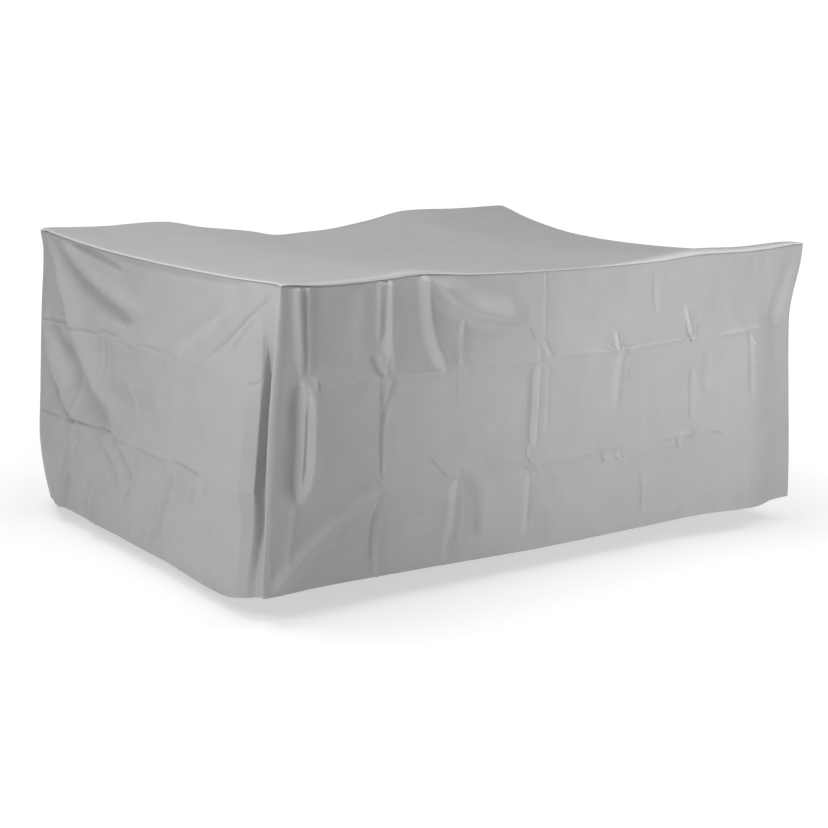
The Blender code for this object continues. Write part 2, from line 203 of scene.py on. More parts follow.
def top_surface(across, deep, to_edge):
    """The top panel's points: a sheet hung from its four seams, with its rolled edges."""
    front = top_seam(FRONT_EDGE, FRONT_LEFT, FRONT_RIGHT, LENGTH, across)
    back = top_seam(BACK_EDGE, BACK_LEFT, BACK_RIGHT, LENGTH, across)
    left = top_seam(LEFT_EDGE, FRONT_LEFT, BACK_LEFT, WIDTH, deep)
    right = top_seam(RIGHT_EDGE, FRONT_RIGHT, BACK_RIGHT, WIDTH, deep)
    u, v = across / LENGTH, deep / WIDTH
    flat = np.stack([LENGTH * (u - 0.5), WIDTH * (v - 0.5), np.full(u.shape, SEAM_HEIGHT)], -1)
    u, v = u[..., None], v[..., None]
    point = front * (1 - v) + back * v + left * (1 - u) + right * u - flat
    for table, from_edge, along in (
        (FRONT_ROLL, deep, across),
        (BACK_ROLL, WIDTH - deep, across),
        (SIDE_ROLL, across, deep),
        (SIDE_ROLL, LENGTH - across, deep),
    ):
        climb = 1 - np.exp(-from_edge / ROLL_RADIUS)
        point[..., 2] += read_table(table, along) * climb * bell(from_edge, ROLL_REACH)
    band = BAND_RISE * bell(to_edge - BAND_WIDTH / 2, BAND_WIDTH / 3)
    stitches = STITCH_DEPTH * bell(to_edge - BAND_WIDTH, STITCH_WIDTH)
    pucker = uneven(PUCKER_SEED, across, deep, PUCKER_LENGTH, PUCKER_LENGTH)
    point[..., 2] += (band - stitches) * (1 + PUCKER_SHARE * pucker)
    for number, bumps in enumerate(TOP_BUMPS):
        lift = bumps.height * uneven(TOP_BUMPS_SEED + number, across, deep, bumps.length, bumps.breadth)
        point[..., 2] += smooth(to_edge / bumps.from_seam) * lift
    point[:, 0, 0] -= LAP_OUT
    point[:, -1, 0] += LAP_OUT
    point[0, :, 1] -= LAP_OUT
    point[-1, :, 1] += LAP_OUT
    point[..., 2] -= LAP_DOWN * (to_edge == 0)
    return point


# The cloth is about 0.3 mm thick. Its coating has a satin sheen. Its colour is painted paler where it rolls
# over a seam, as a painted highlight.
CLOTH_GREY = (0.44, 0.44, 0.44)
PAINTED_HIGHLIGHT_WIDTH = 0.010
PAINTED_HIGHLIGHT_GAIN = 0.22
YARN_WIDTH = 0.0006
YARN_SHARE_OF_HEIGHT = 0.25


def fill_sockets(tree, node, sockets):
    """Gives each socket its value, or a link from another node's output."""
    for name, value in sockets.items():
        if isinstance(value, bpy.types.NodeSocket):
            tree.links.new(value, node.inputs[name])
        else:
            node.inputs[name].default_value = value


def add_node(tree, kind, sockets, **settings):
    node = tree.nodes.new(kind)
    for name, value in settings.items():
        setattr(node, name, value)
    fill_sockets(tree, node, sockets)
    return node


def weave_group():
    """A plain weave under an uneven coating. It puts out a height, and a tone that clouds slightly."""
    tree = bpy.data.node_groups.new("fine_weave", "ShaderNodeTree")
    tree.interface.new_socket("Cloth place", in_out="INPUT", socket_type="NodeSocketVector")
    tree.interface.new_socket("Yarn width", in_out="INPUT", socket_type="NodeSocketFloat")
    tree.interface.new_socket("Height", in_out="OUTPUT", socket_type="NodeSocketFloat")
    tree.interface.new_socket("Tone", in_out="OUTPUT", socket_type="NodeSocketFloat")
    given = add_node(tree, "NodeGroupInput", {})
    place = given.outputs["Cloth place"]
    turns = add_node(tree, "ShaderNodeMath", {0: math.pi, 1: given.outputs["Yarn width"]}, operation="DIVIDE")
    yarns = add_node(tree, "ShaderNodeVectorMath", {0: place, "Scale": turns.outputs[0]}, operation="SCALE")
    split = add_node(tree, "ShaderNodeSeparateXYZ", {0: yarns.outputs[0]})
    warp = add_node(tree, "ShaderNodeMath", {0: split.outputs["X"]}, operation="SINE")
    weft = add_node(tree, "ShaderNodeMath", {0: split.outputs["Y"]}, operation="SINE")
    crossed = add_node(tree, "ShaderNodeMath", {0: warp.outputs[0], 1: weft.outputs[0]}, operation="MULTIPLY")
    grain = add_node(tree, "ShaderNodeTexNoise", {"Vector": place, "Scale": 190.0, "Detail": 3.0})
    height = add_node(
        tree, "ShaderNodeMath", {0: crossed.outputs[0], 1: YARN_SHARE_OF_HEIGHT, 2: grain.outputs["Fac"]},
        operation="MULTIPLY_ADD",
    )
    clouds = add_node(tree, "ShaderNodeTexNoise", {"Vector": place, "Scale": 9.0, "Detail": 4.0})
    add_node(tree, "NodeGroupOutput", {"Height": height.outputs[0], "Tone": clouds.outputs["Fac"]})
    return tree


def coated_cloth():
    """The cloth that all five panels are cut from. Its weave runs along each panel and down it."""
    material = bpy.data.materials.new("coated_cloth")
    material.use_nodes = True
    tree = material.node_tree
    place = add_node(tree, "ShaderNodeUVMap", {}, uv_map="cloth")
    weave = add_node(
        tree, "ShaderNodeGroup", {"Cloth place": place.outputs["UV"], "Yarn width": YARN_WIDTH},
        node_tree=weave_group(),
    )
    tone = add_node(
        tree, "ShaderNodeMapRange",
        {"Value": weave.outputs["Tone"], "From Min": 0.3, "From Max": 0.7, "To Min": 0.97, "To Max": 1.03},
    )
    # A painted highlight: the colour is made paler along the rolled edge, where the roll catches the light.
    highlight_mask = add_node(tree, "ShaderNodeAttribute", {}, attribute_name="painted_edge_highlight")
    tone_and_highlight = add_node(
        tree, "ShaderNodeMath", {0: highlight_mask.outputs["Fac"], 1: PAINTED_HIGHLIGHT_GAIN, 2: tone.outputs["Result"]},
        operation="MULTIPLY_ADD",
    )
    colour = add_node(
        tree, "ShaderNodeVectorMath", {0: CLOTH_GREY, "Scale": tone_and_highlight.outputs[0]}, operation="SCALE"
    )
    bump = add_node(
        tree, "ShaderNodeBump", {"Strength": 0.35, "Distance": 0.0003, "Height": weave.outputs["Height"]}
    )
    fill_sockets(tree, tree.nodes["Principled BSDF"], {
        "Base Color": colour.outputs[0], "Normal": bump.outputs["Normal"],
        "Roughness": 0.46, "Specular IOR Level": 0.5, "Sheen Weight": 0.10, "Sheen Roughness": 0.45,
    })
    return material


cloth = coated_cloth()


def cloth_sheet(name, points, place, outward_first):
    """A sheet of cloth through a grid of points. place is each point's place on the flat cloth, in metres."""
    rows, columns = points.shape[:2]
    number = np.arange(rows * columns).reshape(rows, columns)
    square = [number[:-1, :-1], number[1:, :-1], number[1:, 1:], number[:-1, 1:]]
    if not outward_first:
        square = square[::-1]
    faces = np.stack(square, -1).reshape(-1, 4)
    mesh = bpy.data.meshes.new(name)
    mesh.from_pydata((points - [0, 0, HELD_HEIGHT]).reshape(-1, 3).tolist(), [], faces.tolist())
    mesh.shade_smooth()
    flat = mesh.uv_layers.new(name="cloth")
    flat.data.foreach_set("uv", place.reshape(-1, 2)[faces.reshape(-1)].astype(np.float32).reshape(-1))
    mesh.materials.append(cloth)
    piece = bpy.data.objects.new(name, mesh)
    bpy.context.scene.collection.objects.link(piece)
    return piece


across, deep = np.meshgrid(*[
    graded(length, wide=0.0105, close=0.0016, places=(0.0, length), reach=0.014) for length in (LENGTH, WIDTH)
])
to_edge = np.minimum(np.minimum(across, LENGTH - across), np.minimum(deep, WIDTH - deep))
points = top_surface(across, deep, to_edge)
top = cloth_sheet("top_cloth", points, np.stack([across, deep], -1), outward_first=False)
# The painted highlight's mask, strongest at the top's rolled edge.
painted_highlight_layer = top.data.attributes.new("painted_edge_highlight", "FLOAT", "POINT")
painted_highlight_layer.data.foreach_set("value", bell(to_edge, PAINTED_HIGHLIGHT_WIDTH).astype(np.float32).reshape(-1))
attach(top, "root")
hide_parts("top_panel")

# ---------------------------------------------------------------- Front wall
# A panel as long as the cover, of the same cloth, sewn to the front of the top and to the short walls.
# It was folded flat for the shop and keeps those creases. Its doubled hem is stitched along the bottom.

# A fold's line along the wall and up it, half its width, and how far it stands out or, below 0, falls in.
# sharp goes from 0, a soft fold, to 1, a pressed crease. slant makes one side of the line the steeper one.
Fold = namedtuple("Fold", "line width rise sharp slant", defaults=(0.0, 0.0))
# One value deepens or flattens all the folds together.
FOLD_DEPTH = 1.3
# A fold comes up over this share of its length at each end, and is narrower there.
FOLD_FADE = 0.22
FOLD_END_WIDTH = 0.55
# A curved one is drawn with this many points to each stretch between two of its own.
FOLD_POINTS = 7
# It stops showing this many half widths from its line.
FOLD_REACH = 2.6
# How much more pointed than a soft fold a pressed crease is.
CREASE_POINT = 0.8
# A fold is fully out only this many half widths from the top seam and from a corner seam.
FOLD_FROM_SEAM = 1.2
FOLD_FROM_CORNER = 1.5
LEAST_FROM_CORNER = 0.004

FRONT_FOLDS = (
    # Two gathers under the seam beside the near corner, and the pinch where they end.
    Fold(((0.050, 1.020), (0.062, 0.910), (0.078, 0.800), (0.098, 0.660)), 0.012, 0.012, 0.2, 0.2),
    Fold(((0.090, 1.020), (0.098, 0.900), (0.110, 0.790), (0.126, 0.655)), 0.010, 0.009, 0.3, 0.2),
    Fold(((0.088, 0.645), (0.106, 0.628)), 0.005, -0.003, 0.5),
    Fold(((0.104, 0.642), (0.114, 0.612)), 0.005, 0.003, 0.5),
    Fold(((0.140, 0.675), (0.141, 0.622)), 0.005, 0.004, 0.5),
    Fold(((0.150, 0.655), (0.151, 0.620)), 0.005, -0.003, 0.5),
    # The lens below them: the cloth falls in, comes out steeply to one ridge, and then to a second one.
    Fold(
        ((0.086, 0.690), (0.098, 0.570), (0.103, 0.450), (0.100, 0.360), (0.100, 0.250)),
        0.023, -0.020, 0.3, 0.35,
    ),
    Fold(((0.112, 0.640), (0.116, 0.500), (0.113, 0.380), (0.112, 0.290)), 0.008, 0.006, 0.2),
    Fold(((0.120, 0.620), (0.125, 0.500), (0.125, 0.400), (0.117, 0.300)), 0.006, -0.006, 0.2),
    Fold(
        ((0.118, 0.665), (0.135, 0.570), (0.141, 0.470), (0.142, 0.410), (0.134, 0.345), (0.118, 0.265)),
        0.020, 0.015, 0.2, -0.5,
    ),
    Fold(((0.150, 0.720), (0.168, 0.480), (0.150, 0.180)), 0.110, 0.014),
    Fold(((0.100, 0.290), (0.088, 0.180), (0.074, 0.040)), 0.012, 0.004),
    Fold(((0.022, 0.120), (0.024, 0.060), (0.025, 0.000)), 0.005, 0.002, 0.4),
    Fold(((0.168, 0.772), (0.205, 0.745), (0.236, 0.725)), 0.005, -0.003, 0.6),
    Fold(((0.284, 0.960), (0.288, 0.820), (0.296, 0.690)), 0.026, 0.006),
    # The pair of gathers that ends in a sharp V, and the double crease below it.
    Fold(((0.343, 1.020), (0.350, 0.900), (0.358, 0.810), (0.366, 0.730)), 0.009, 0.006, 0.3),
    Fold(((0.370, 0.990), (0.376, 0.860), (0.386, 0.750)), 0.008, -0.006),
    Fold(
        ((0.374, 1.040), (0.384, 0.910), (0.396, 0.800), (0.412, 0.720), (0.434, 0.640)),
        0.017, 0.017, 0.1, 0.2,
    ),
    Fold(((0.346, 0.722), (0.364, 0.682), (0.390, 0.642)), 0.015, -0.007),
    Fold(((0.378, 0.712), (0.394, 0.655)), 0.009, 0.003),
    Fold(((0.397, 0.712), (0.402, 0.635)), 0.005, 0.004, 0.5),
    Fold(
        ((0.382, 0.655), (0.390, 0.605), (0.400, 0.548), (0.403, 0.450), (0.404, 0.285)),
        0.009, -0.010, 0.4, -0.3,
    ),
    Fold(((0.434, 0.650), (0.423, 0.590), (0.413, 0.530), (0.408, 0.480)), 0.008, -0.009, 0.4, -0.3),
    Fold(((0.419, 0.650), (0.412, 0.590), (0.404, 0.545)), 0.006, 0.007, 0.4),
    Fold(((0.384, 0.316), (0.400, 0.284)), 0.005, -0.004, 0.5),
    Fold(
        ((0.424, 0.300), (0.406, 0.220), (0.396, 0.140), (0.395, 0.070), (0.400, -0.060)),
        0.008, 0.010, 0.2,
    ),
    Fold(((0.394, 0.225), (0.381, 0.140), (0.383, 0.030)), 0.007, -0.004),
    # The long fold down from the top, and the broad one that leaves it towards the middle.
    Fold(
        ((0.500, 1.050), (0.516, 0.930), (0.538, 0.825), (0.572, 0.735), (0.610, 0.665), (0.646, 0.600)),
        0.017, 0.020, 0.1,
    ),
    Fold(((0.560, 0.900), (0.600, 0.810), (0.650, 0.710), (0.675, 0.650)), 0.030, -0.004),
    Fold(
        (
            (0.460, 1.000), (0.545, 0.930), (0.602, 0.880), (0.662, 0.842),
            (0.735, 0.812), (0.840, 0.788), (0.980, 0.765),
        ),
        0.036, 0.031, 0.0, -0.4,
    ),
    Fold(((0.690, 0.810), (0.688, 0.730), (0.688, 0.630)), 0.009, 0.007, 0.2),
    Fold(((0.664, 0.770), (0.672, 0.650)), 0.010, -0.0015),
    Fold(((0.722, 0.790), (0.720, 0.660)), 0.011, -0.003),
    Fold(((0.722, 0.670), (0.737, 0.640), (0.745, 0.612)), 0.006, -0.004, 0.5),
    Fold(((0.676, 0.645), (0.684, 0.600), (0.688, 0.540)), 0.006, -0.003, 0.4),
    # The diagonal fold from the near hem corner, and a softer one under it.
    Fold(
        ((0.000, -0.030), (0.110, 0.083), (0.180, 0.148), (0.260, 0.216), (0.340, 0.276), (0.420, 0.325)),
        0.033, 0.025, 0.3, 0.35,
    ),
    Fold(((0.100, 0.050), (0.200, 0.125), (0.310, 0.205), (0.390, 0.265)), 0.035, -0.005),
    Fold(((0.150, 0.090), (0.280, 0.152), (0.365, 0.212), (0.420, 0.275)), 0.015, 0.006, 0.2),
    # The folds under the second pinch.
    Fold(
        ((0.706, 0.300), (0.684, 0.235), (0.678, 0.150), (0.666, 0.070), (0.652, -0.050)),
        0.010, 0.012, 0.2,
    ),
    Fold(((0.712, 0.280), (0.724, 0.200), (0.722, 0.120), (0.716, 0.040)), 0.013, 0.009),
    Fold(
        ((0.718, 0.302), (0.756, 0.260), (0.790, 0.215), (0.800, 0.150), (0.794, 0.040)),
        0.034, -0.015, 0.2, 0.5,
    ),
    Fold(((0.575, 0.240), (0.560, 0.160)), 0.018, -0.004),
    Fold(((0.600, 0.200), (0.598, 0.100)), 0.016, 0.004),
    Fold(((0.568, 0.377), (0.610, 0.335), (0.650, 0.293), (0.668, 0.270)), 0.005, -0.005, 0.6),
    Fold(((0.713, 0.304), (0.718, 0.268)), 0.006, -0.006, 0.5),
    Fold(((0.812, 0.355), (0.810, 0.308)), 0.005, -0.003, 0.4),
    # The middle crease, with its zigzag above and its crumple below.
    Fold(((1.015, 0.960), (1.024, 0.830), (1.033, 0.750), (1.041, 0.690)), 0.006, 0.004, 0.5),
    Fold(
        ((0.955, 0.825), (0.966, 0.775), (0.982, 0.735), (1.005, 0.705), (1.035, 0.703)),
        0.006, -0.005, 0.5,
    ),
    Fold(((0.958, 0.795), (0.972, 0.762)), 0.006, 0.003, 0.3),
    Fold(((1.024, 0.708), (1.045, 0.672), (1.068, 0.636)), 0.009, 0.007, 0.4),
    Fold(
        ((1.011, 0.712), (1.014, 0.655), (1.018, 0.600), (1.018, 0.500), (1.012, 0.400), (1.013, 0.295)),
        0.006, 0.006, 0.4,
    ),
    Fold(((0.998, 0.640), (1.002, 0.500), (0.996, 0.400), (0.988, 0.320)), 0.016, -0.010, 0.2, 0.5),
    Fold(((0.974, 0.355), (0.974, 0.296)), 0.006, -0.006, 0.4),
    Fold(((1.052, 0.640), (1.056, 0.530), (1.050, 0.360)), 0.011, 0.006),
    Fold(((0.975, 0.305), (1.000, 0.280), (1.024, 0.260)), 0.005, -0.005, 0.5),
    Fold(((0.962, 0.274), (0.990, 0.262), (1.022, 0.250)), 0.005, -0.004, 0.4),
    Fold(((1.024, 0.262), (1.042, 0.275)), 0.005, 0.004, 0.4),
    Fold(((0.983, 0.270), (0.981, 0.160), (0.977, 0.000)), 0.009, 0.009),
    Fold(((0.998, 0.260), (0.996, 0.170), (0.992, 0.070)), 0.007, -0.002),
    Fold(((1.020, 0.260), (1.012, 0.180), (1.008, 0.090)), 0.008, 0.003),
    Fold(((1.050, 0.135), (1.058, 0.060), (1.066, -0.020)), 0.006, 0.003, 0.3),
    Fold(((1.066, 0.120), (1.075, 0.050), (1.074, -0.020)), 0.008, -0.0035, 0.3),
    Fold(((1.106, 0.235), (1.099, 0.155)), 0.010, -0.006, 0.2),
    # The upper pressed crease along the wall, with the short ones that cross it.
    Fold(((-0.200, 0.645), (0.700, 0.642), (1.400, 0.648), (2.300, 0.660)), 0.070, 0.008),
    Fold(((1.050, 0.650), (1.600, 0.660), (2.100, 0.670)), 0.110, 0.008),
    Fold(((0.235, 0.638), (0.310, 0.648), (0.350, 0.650), (0.392, 0.636)), 0.007, 0.007, 0.4),
    Fold(((0.420, 0.646), (0.500, 0.644), (0.580, 0.641), (0.670, 0.636)), 0.006, 0.0045, 0.5),
    Fold(((0.750, 0.634), (0.900, 0.634), (0.965, 0.631), (1.066, 0.622)), 0.006, 0.006, 0.6),
    Fold(((1.060, 0.638), (1.180, 0.643), (1.288, 0.638), (1.350, 0.636)), 0.006, 0.007, 0.6),
    Fold(((1.280, 0.637), (1.380, 0.640), (1.480, 0.643), (1.690, 0.654)), 0.006, 0.0065, 0.6),
    Fold(((1.780, 0.651), (1.870, 0.655), (1.985, 0.662)), 0.007, 0.007, 0.5),
    Fold(((1.960, 0.668), (2.030, 0.662), (2.115, 0.659)), 0.006, 0.007, 0.5),
    Fold(((1.298, 0.668), (1.318, 0.650), (1.342, 0.632)), 0.005, 0.006, 0.5),
    Fold(((1.336, 0.715), (1.341, 0.670), (1.347, 0.632)), 0.006, 0.007, 0.4),
    Fold(((1.396, 0.658), (1.398, 0.618)), 0.005, -0.0045, 0.5),
    Fold(((1.360, 0.680), (1.362, 0.550), (1.356, 0.410)), 0.017, 0.008),
    Fold(((1.418, 0.580), (1.417, 0.525)), 0.006, -0.0045, 0.3),
    Fold(((1.486, 0.890), (1.497, 0.820), (1.521, 0.750)), 0.006, -0.006, 0.5),
    Fold(((1.650, 0.776), (1.668, 0.710), (1.685, 0.648)), 0.006, 0.007, 0.4),
    Fold(((1.661, 0.705), (1.669, 0.658)), 0.005, -0.006, 0.4),
    Fold(((1.704, 0.705), (1.690, 0.655)), 0.005, 0.0045, 0.4),
    Fold(((1.670, 0.668), (1.690, 0.641)), 0.006, -0.0085, 0.4),
    Fold(((1.700, 0.560), (1.700, 0.450), (1.696, 0.345)), 0.012, -0.007, 0.2, -0.3),
    Fold(((1.768, 0.620), (1.768, 0.430)), 0.022, -0.005),
    Fold(((1.950, 0.680), (1.952, 0.550), (1.954, 0.410)), 0.008, -0.007, 0.3, -0.3),
    Fold(((1.960, 0.645), (1.975, 0.615), (2.005, 0.600)), 0.005, 0.0045, 0.4),
    Fold(((1.960, 0.550), (2.000, 0.547)), 0.005, 0.0045, 0.4),
    Fold(((1.850, 0.775), (1.890, 0.710), (1.935, 0.655)), 0.024, 0.003),
    # The lower pressed crease.
    Fold(((-0.100, 0.300), (0.700, 0.300), (1.400, 0.292), (2.300, 0.306)), 0.070, 0.006),
    Fold(((0.750, 0.305), (0.820, 0.303), (0.900, 0.292), (0.985, 0.276)), 0.010, 0.007, 0.3),
    Fold(((1.030, 0.277), (1.140, 0.277), (1.260, 0.273)), 0.006, 0.006, 0.6),
    Fold(((1.225, 0.288), (1.310, 0.290), (1.405, 0.297)), 0.007, 0.007, 0.5),
    Fold(((1.302, 0.292), (1.306, 0.243)), 0.007, -0.0085, 0.3),
    Fold(((1.354, 0.292), (1.363, 0.243)), 0.006, -0.007, 0.3),
    Fold(((1.384, 0.287), (1.394, 0.243)), 0.005, -0.006, 0.3),
    Fold(((1.560, 0.286), (1.660, 0.290)), 0.006, -0.003, 0.4),
    Fold(((1.640, 0.293), (1.672, 0.303), (1.712, 0.298)), 0.008, 0.0085, 0.4),
    Fold(((1.638, 0.294), (1.643, 0.246)), 0.007, -0.006, 0.3),
    Fold(((1.780, 0.297), (1.840, 0.291)), 0.005, -0.0045, 0.5),
    Fold(((1.975, 0.306), (2.020, 0.311), (2.065, 0.317)), 0.006, 0.0045, 0.5),
    Fold(((1.471, 0.195), (1.486, 0.120), (1.489, 0.018)), 0.006, -0.007, 0.4),
    # The right end, which turns away before the corner.
    Fold(((2.150, 0.920), (2.118, 0.780), (2.090, 0.650)), 0.026, -0.007),
    Fold(((2.030, 0.760), (2.010, 0.380), (2.000, -0.260)), 0.160, 0.037, 0.0, 0.20),
)
# The two creases that were pressed along every wall lie at about these heights.
PRESSED_CREASES = (0.64, 0.29)

# The hem's height, and how far it stands out from the line between its two corners.
Hem = namedtuple("Hem", "along height out")
FRONT_HEM = (
    Hem(0.00, -0.017, 0.000), Hem(0.30, -0.015, -0.004), Hem(1.10, -0.030, -0.010), Hem(1.90, -0.016, -0.004),
    Hem(2.20, -0.013, 0.000),
)
# The hem turns under in a half circle and runs back up behind the wall.
HEM_TURN = 0.0012
HEM_DEPTH = 0.026
HEM_ROWS = (0.008, 0.016, HEM_DEPTH)

# How far a corner seam is rounded off, at a share of the way down.
Rounding = namedtuple("Rounding", "down radius")
CORNER_ROUNDING = (
    Rounding(0.00, 0.003), Rounding(0.06, 0.012), Rounding(0.25, 0.022), Rounding(0.80, 0.020),
    Rounding(1.00, 0.012),
)
# The rounding starts this many radii before the corner, and takes this share of the radius off each wall.
ROUNDING_REACH = 1.1
ROUNDING_CUT = 0.293
# The seam allowance lifts a fine ridge along the corner seam, from this far under the top seam.
RIDGE_RISE = 0.0008
RIDGE_WIDTH = 0.0022
RIDGE_START = 0.55
RIDGE_FADE = 0.2
# The stitches of the top seam draw the wall in: a fine groove in a soft hollow.
GROOVE_DEPTH = 0.0020
GROOVE_WIDTH = 0.005
HOLLOW_DEPTH = 0.0018
HOLLOW_REACH = 0.012

WALL_BUMPS = (
    Bumps(0.0022, 0.17, 0.24, 0.04, 0.05), Bumps(0.0010, 0.030, 0.16, 0.04, 0.05),
    Bumps(0.00035, 0.012, 0.03, 0.02, 0.02),
)


def rounded_line(line):
    """Points of a smooth curve through a fold's few points, and how far along it each one is."""
    line = np.array(line, float)
    run = np.concatenate([[0], np.cumsum(np.hypot(*np.diff(line, axis=0).T))])
    rows = np.column_stack([run, line])
    at = np.linspace(0, run[-1], 2 if len(line) == 2 else FOLD_POINTS * (len(line) - 1))
    return np.stack([read_table(rows, at, 1), read_table(rows, at, 2)], -1), at


def nearest_on(line, run, x, y):
    """Each point's distance from a line, the side it is on (1 or -1), and its share of the line's length."""
    nearest = np.full(x.shape, np.inf)
    side = np.zeros(x.shape)
    share = np.zeros(x.shape)
    for (x0, y0), (x1, y1), begun in zip(line, line[1:], run):
        long = math.hypot(x1 - x0, y1 - y0)
        t = np.clip(((x - x0) * (x1 - x0) + (y - y0) * (y1 - y0)) / long**2, 0, 1)
        off_x, off_y = x - x0 - t * (x1 - x0), y - y0 - t * (y1 - y0)
        distance = np.hypot(off_x, off_y)
        closer = distance < nearest
        nearest = np.where(closer, distance, nearest)
        side = np.where(closer, np.sign((x1 - x0) * off_y - (y1 - y0) * off_x), side)
        share = np.where(closer, (begun + t * long) / run[-1], share)
    return nearest, side, share


def raise_folds(folds, along, up, under_seam, from_corner):
    """How far all the folds together stand out at each point of a wall."""
    lift = np.zeros(along.shape)
    for fold in folds:
        line, run = rounded_line(fold.line)
        reach = FOLD_REACH * fold.width * (1 + abs(fold.slant))
        low, high = line.min(0) - reach, line.max(0) + reach
        near = (along > low[0]) & (along < high[0]) & (up > low[1]) & (up < high[1])
        distance, side, share = nearest_on(line, run, along[near], up[near])
        ends = smooth(share / FOLD_FADE) * smooth((1 - share) / FOLD_FADE)
        narrowed = FOLD_END_WIDTH + (1 - FOLD_END_WIDTH) * ends
        spread = fold.width * narrowed * (1 - fold.slant * side)
        crest = np.exp(-((distance / spread) ** (2 - CREASE_POINT * fold.sharp)))
        seam_hold = smooth(under_seam[near] / (FOLD_FROM_SEAM * fold.width))
        corner_hold = smooth(from_corner[near] / (FOLD_FROM_CORNER * fold.width + LEAST_FROM_CORNER))
        lift[near] += FOLD_DEPTH * fold.rise * ends * crest * seam_hold * corner_hold
    return lift


def merge_lines(one, other):
    """Grid lines that are as close together as the closer of two sets, everywhere."""
    at = np.linspace(0, one[-1], GRADING_STEPS + 1)
    crowd = np.maximum(*[np.interp(at, (s[1:] + s[:-1]) / 2, 1 / np.diff(s)) for s in (one, other)])
    return lines_from(crowd, at)


def wall_rows():
    """The rows of a wall's grid: how far down each is, how far behind the wall, and how far it is lowered."""
    creases = [SEAM_HEIGHT - height for height in PRESSED_CREASES]
    down = merge_lines(
        graded(SEAM_HEIGHT, wide=0.0052, close=0.0012, places=(0.0,), reach=0.010),
        graded(SEAM_HEIGHT, wide=0.0052, close=0.0030, places=creases, reach=0.030),
    ) / SEAM_HEIGHT
    turn = np.array([0.25, 0.5, 0.75, 1.0]) * math.pi
    level = np.zeros(len(down))
    inner = np.zeros(len(HEM_ROWS))
    rows = np.concatenate([down, np.ones(len(turn)), 1 - np.array(HEM_ROWS) / SEAM_HEIGHT])
    behind = np.concatenate([level, HEM_TURN * (1 - np.cos(turn)), inner + 2 * HEM_TURN])
    lowered = np.concatenate([level, HEM_TURN * np.sin(turn), inner])
    return rows, behind, lowered


def wall_cloth(
    name, start, end, edge, hem, folds, lines, recover, seed,
    flute=None, start_rounding=CORNER_ROUNDING, end_rounding=CORNER_ROUNDING,
):
    """One wall, from its start corner to its end corner. Its grid has the given lines along it.

    recover says how soon the wall comes out again below a top seam that is drawn in.
    """
    length = lines[-1]
    outward = facing(start, end)
    sideways = np.array([end.side_x - start.side_x, end.side_y - start.side_y, 0]) / 2
    rows, behind, lowered = wall_rows()
    along, down = np.meshgrid(lines, rows)
    share = (along / length)[..., None]
    point = corner_line(start, down) * (1 - share) + corner_line(end, down) * share
    up = (SEAM_HEIGHT - read_table(edge, along, 1)) * (1 - down) + read_table(hem, along, 1) * down
    under_seam = down * SEAM_HEIGHT
    from_corner = np.minimum(along, length - along)

    out = read_table(hem, along, 2) * smooth(down) - read_table(edge, along, 2) * (1 - down) ** recover
    out += raise_folds(folds, along, up, under_seam, from_corner)
    for number, bumps in enumerate(WALL_BUMPS):
        free = smooth(under_seam / bumps.from_seam) * smooth(from_corner / bumps.from_corner)
        out += free * bumps.height * uneven(seed + number, along, up, bumps.length, bumps.breadth)
    out -= GROOVE_DEPTH * bell(under_seam, GROOVE_WIDTH) + HOLLOW_DEPTH * np.exp(-under_seam / HOLLOW_REACH)
    overlap = 0
    if flute:
        deep, overlap = flute(along, up, under_seam)
        out -= deep

    # Near a corner both walls turn towards each other, and their seam allowance stands out as a ridge.
    radius = np.where(along < length / 2, read_table(start_rounding, down), read_table(end_rounding, down))
    turned = np.clip(1 - from_corner / (ROUNDING_REACH * radius), 0, 1)
    set_back = radius * (1 - np.sqrt(1 - ((1 - ROUNDING_CUT) * turned) ** 2))
    ridge = RIDGE_RISE * bell(from_corner, RIDGE_WIDTH) * smooth((under_seam - RIDGE_START) / RIDGE_FADE)
    inward = ROUNDING_CUT * radius * turned - ridge
    aside = np.sign(length / 2 - along) * inward + overlap

    point += outward * (out - set_back + ridge - behind[:, None])[..., None]
    point += sideways * aside[..., None]
    point[..., 2] = up - lowered[:, None]
    steps = np.linalg.norm(np.diff(point, axis=0), axis=-1)
    from_seam = np.concatenate([np.zeros((1, len(lines))), np.cumsum(steps, 0)])
    clockwise = np.cross(sideways, [0, 0, -1]) @ outward > 0
    return cloth_sheet(name, point, np.stack([along, -from_seam], -1), outward_first=not clockwise)


# The grid is finer at the corners and along the upright creases.
front_creases = (0.04, 0.10, 0.15, 0.40, 0.69, 1.00, 1.05, 1.34, 1.68, 1.97)
front_lines = merge_lines(
    graded(LENGTH, wide=0.0068, close=0.0014, places=(0.0, LENGTH), reach=0.006),
    graded(LENGTH, wide=0.0068, close=0.0034, places=front_creases, reach=0.030),
)
front = wall_cloth(
    "front_cloth", FRONT_LEFT, FRONT_RIGHT, FRONT_EDGE, FRONT_HEM, FRONT_FOLDS, front_lines,
    recover=3.0, seed=11,
)
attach(front, "root")
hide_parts("wall_front")

# ---------------------------------------------------------------- Left wall
# The shorter panel at the left end, of the same cloth. Behind the near corner it falls into a deep flute.
# Long folds run down from its far top corner, across the two pressed creases. The far corner is tucked in.

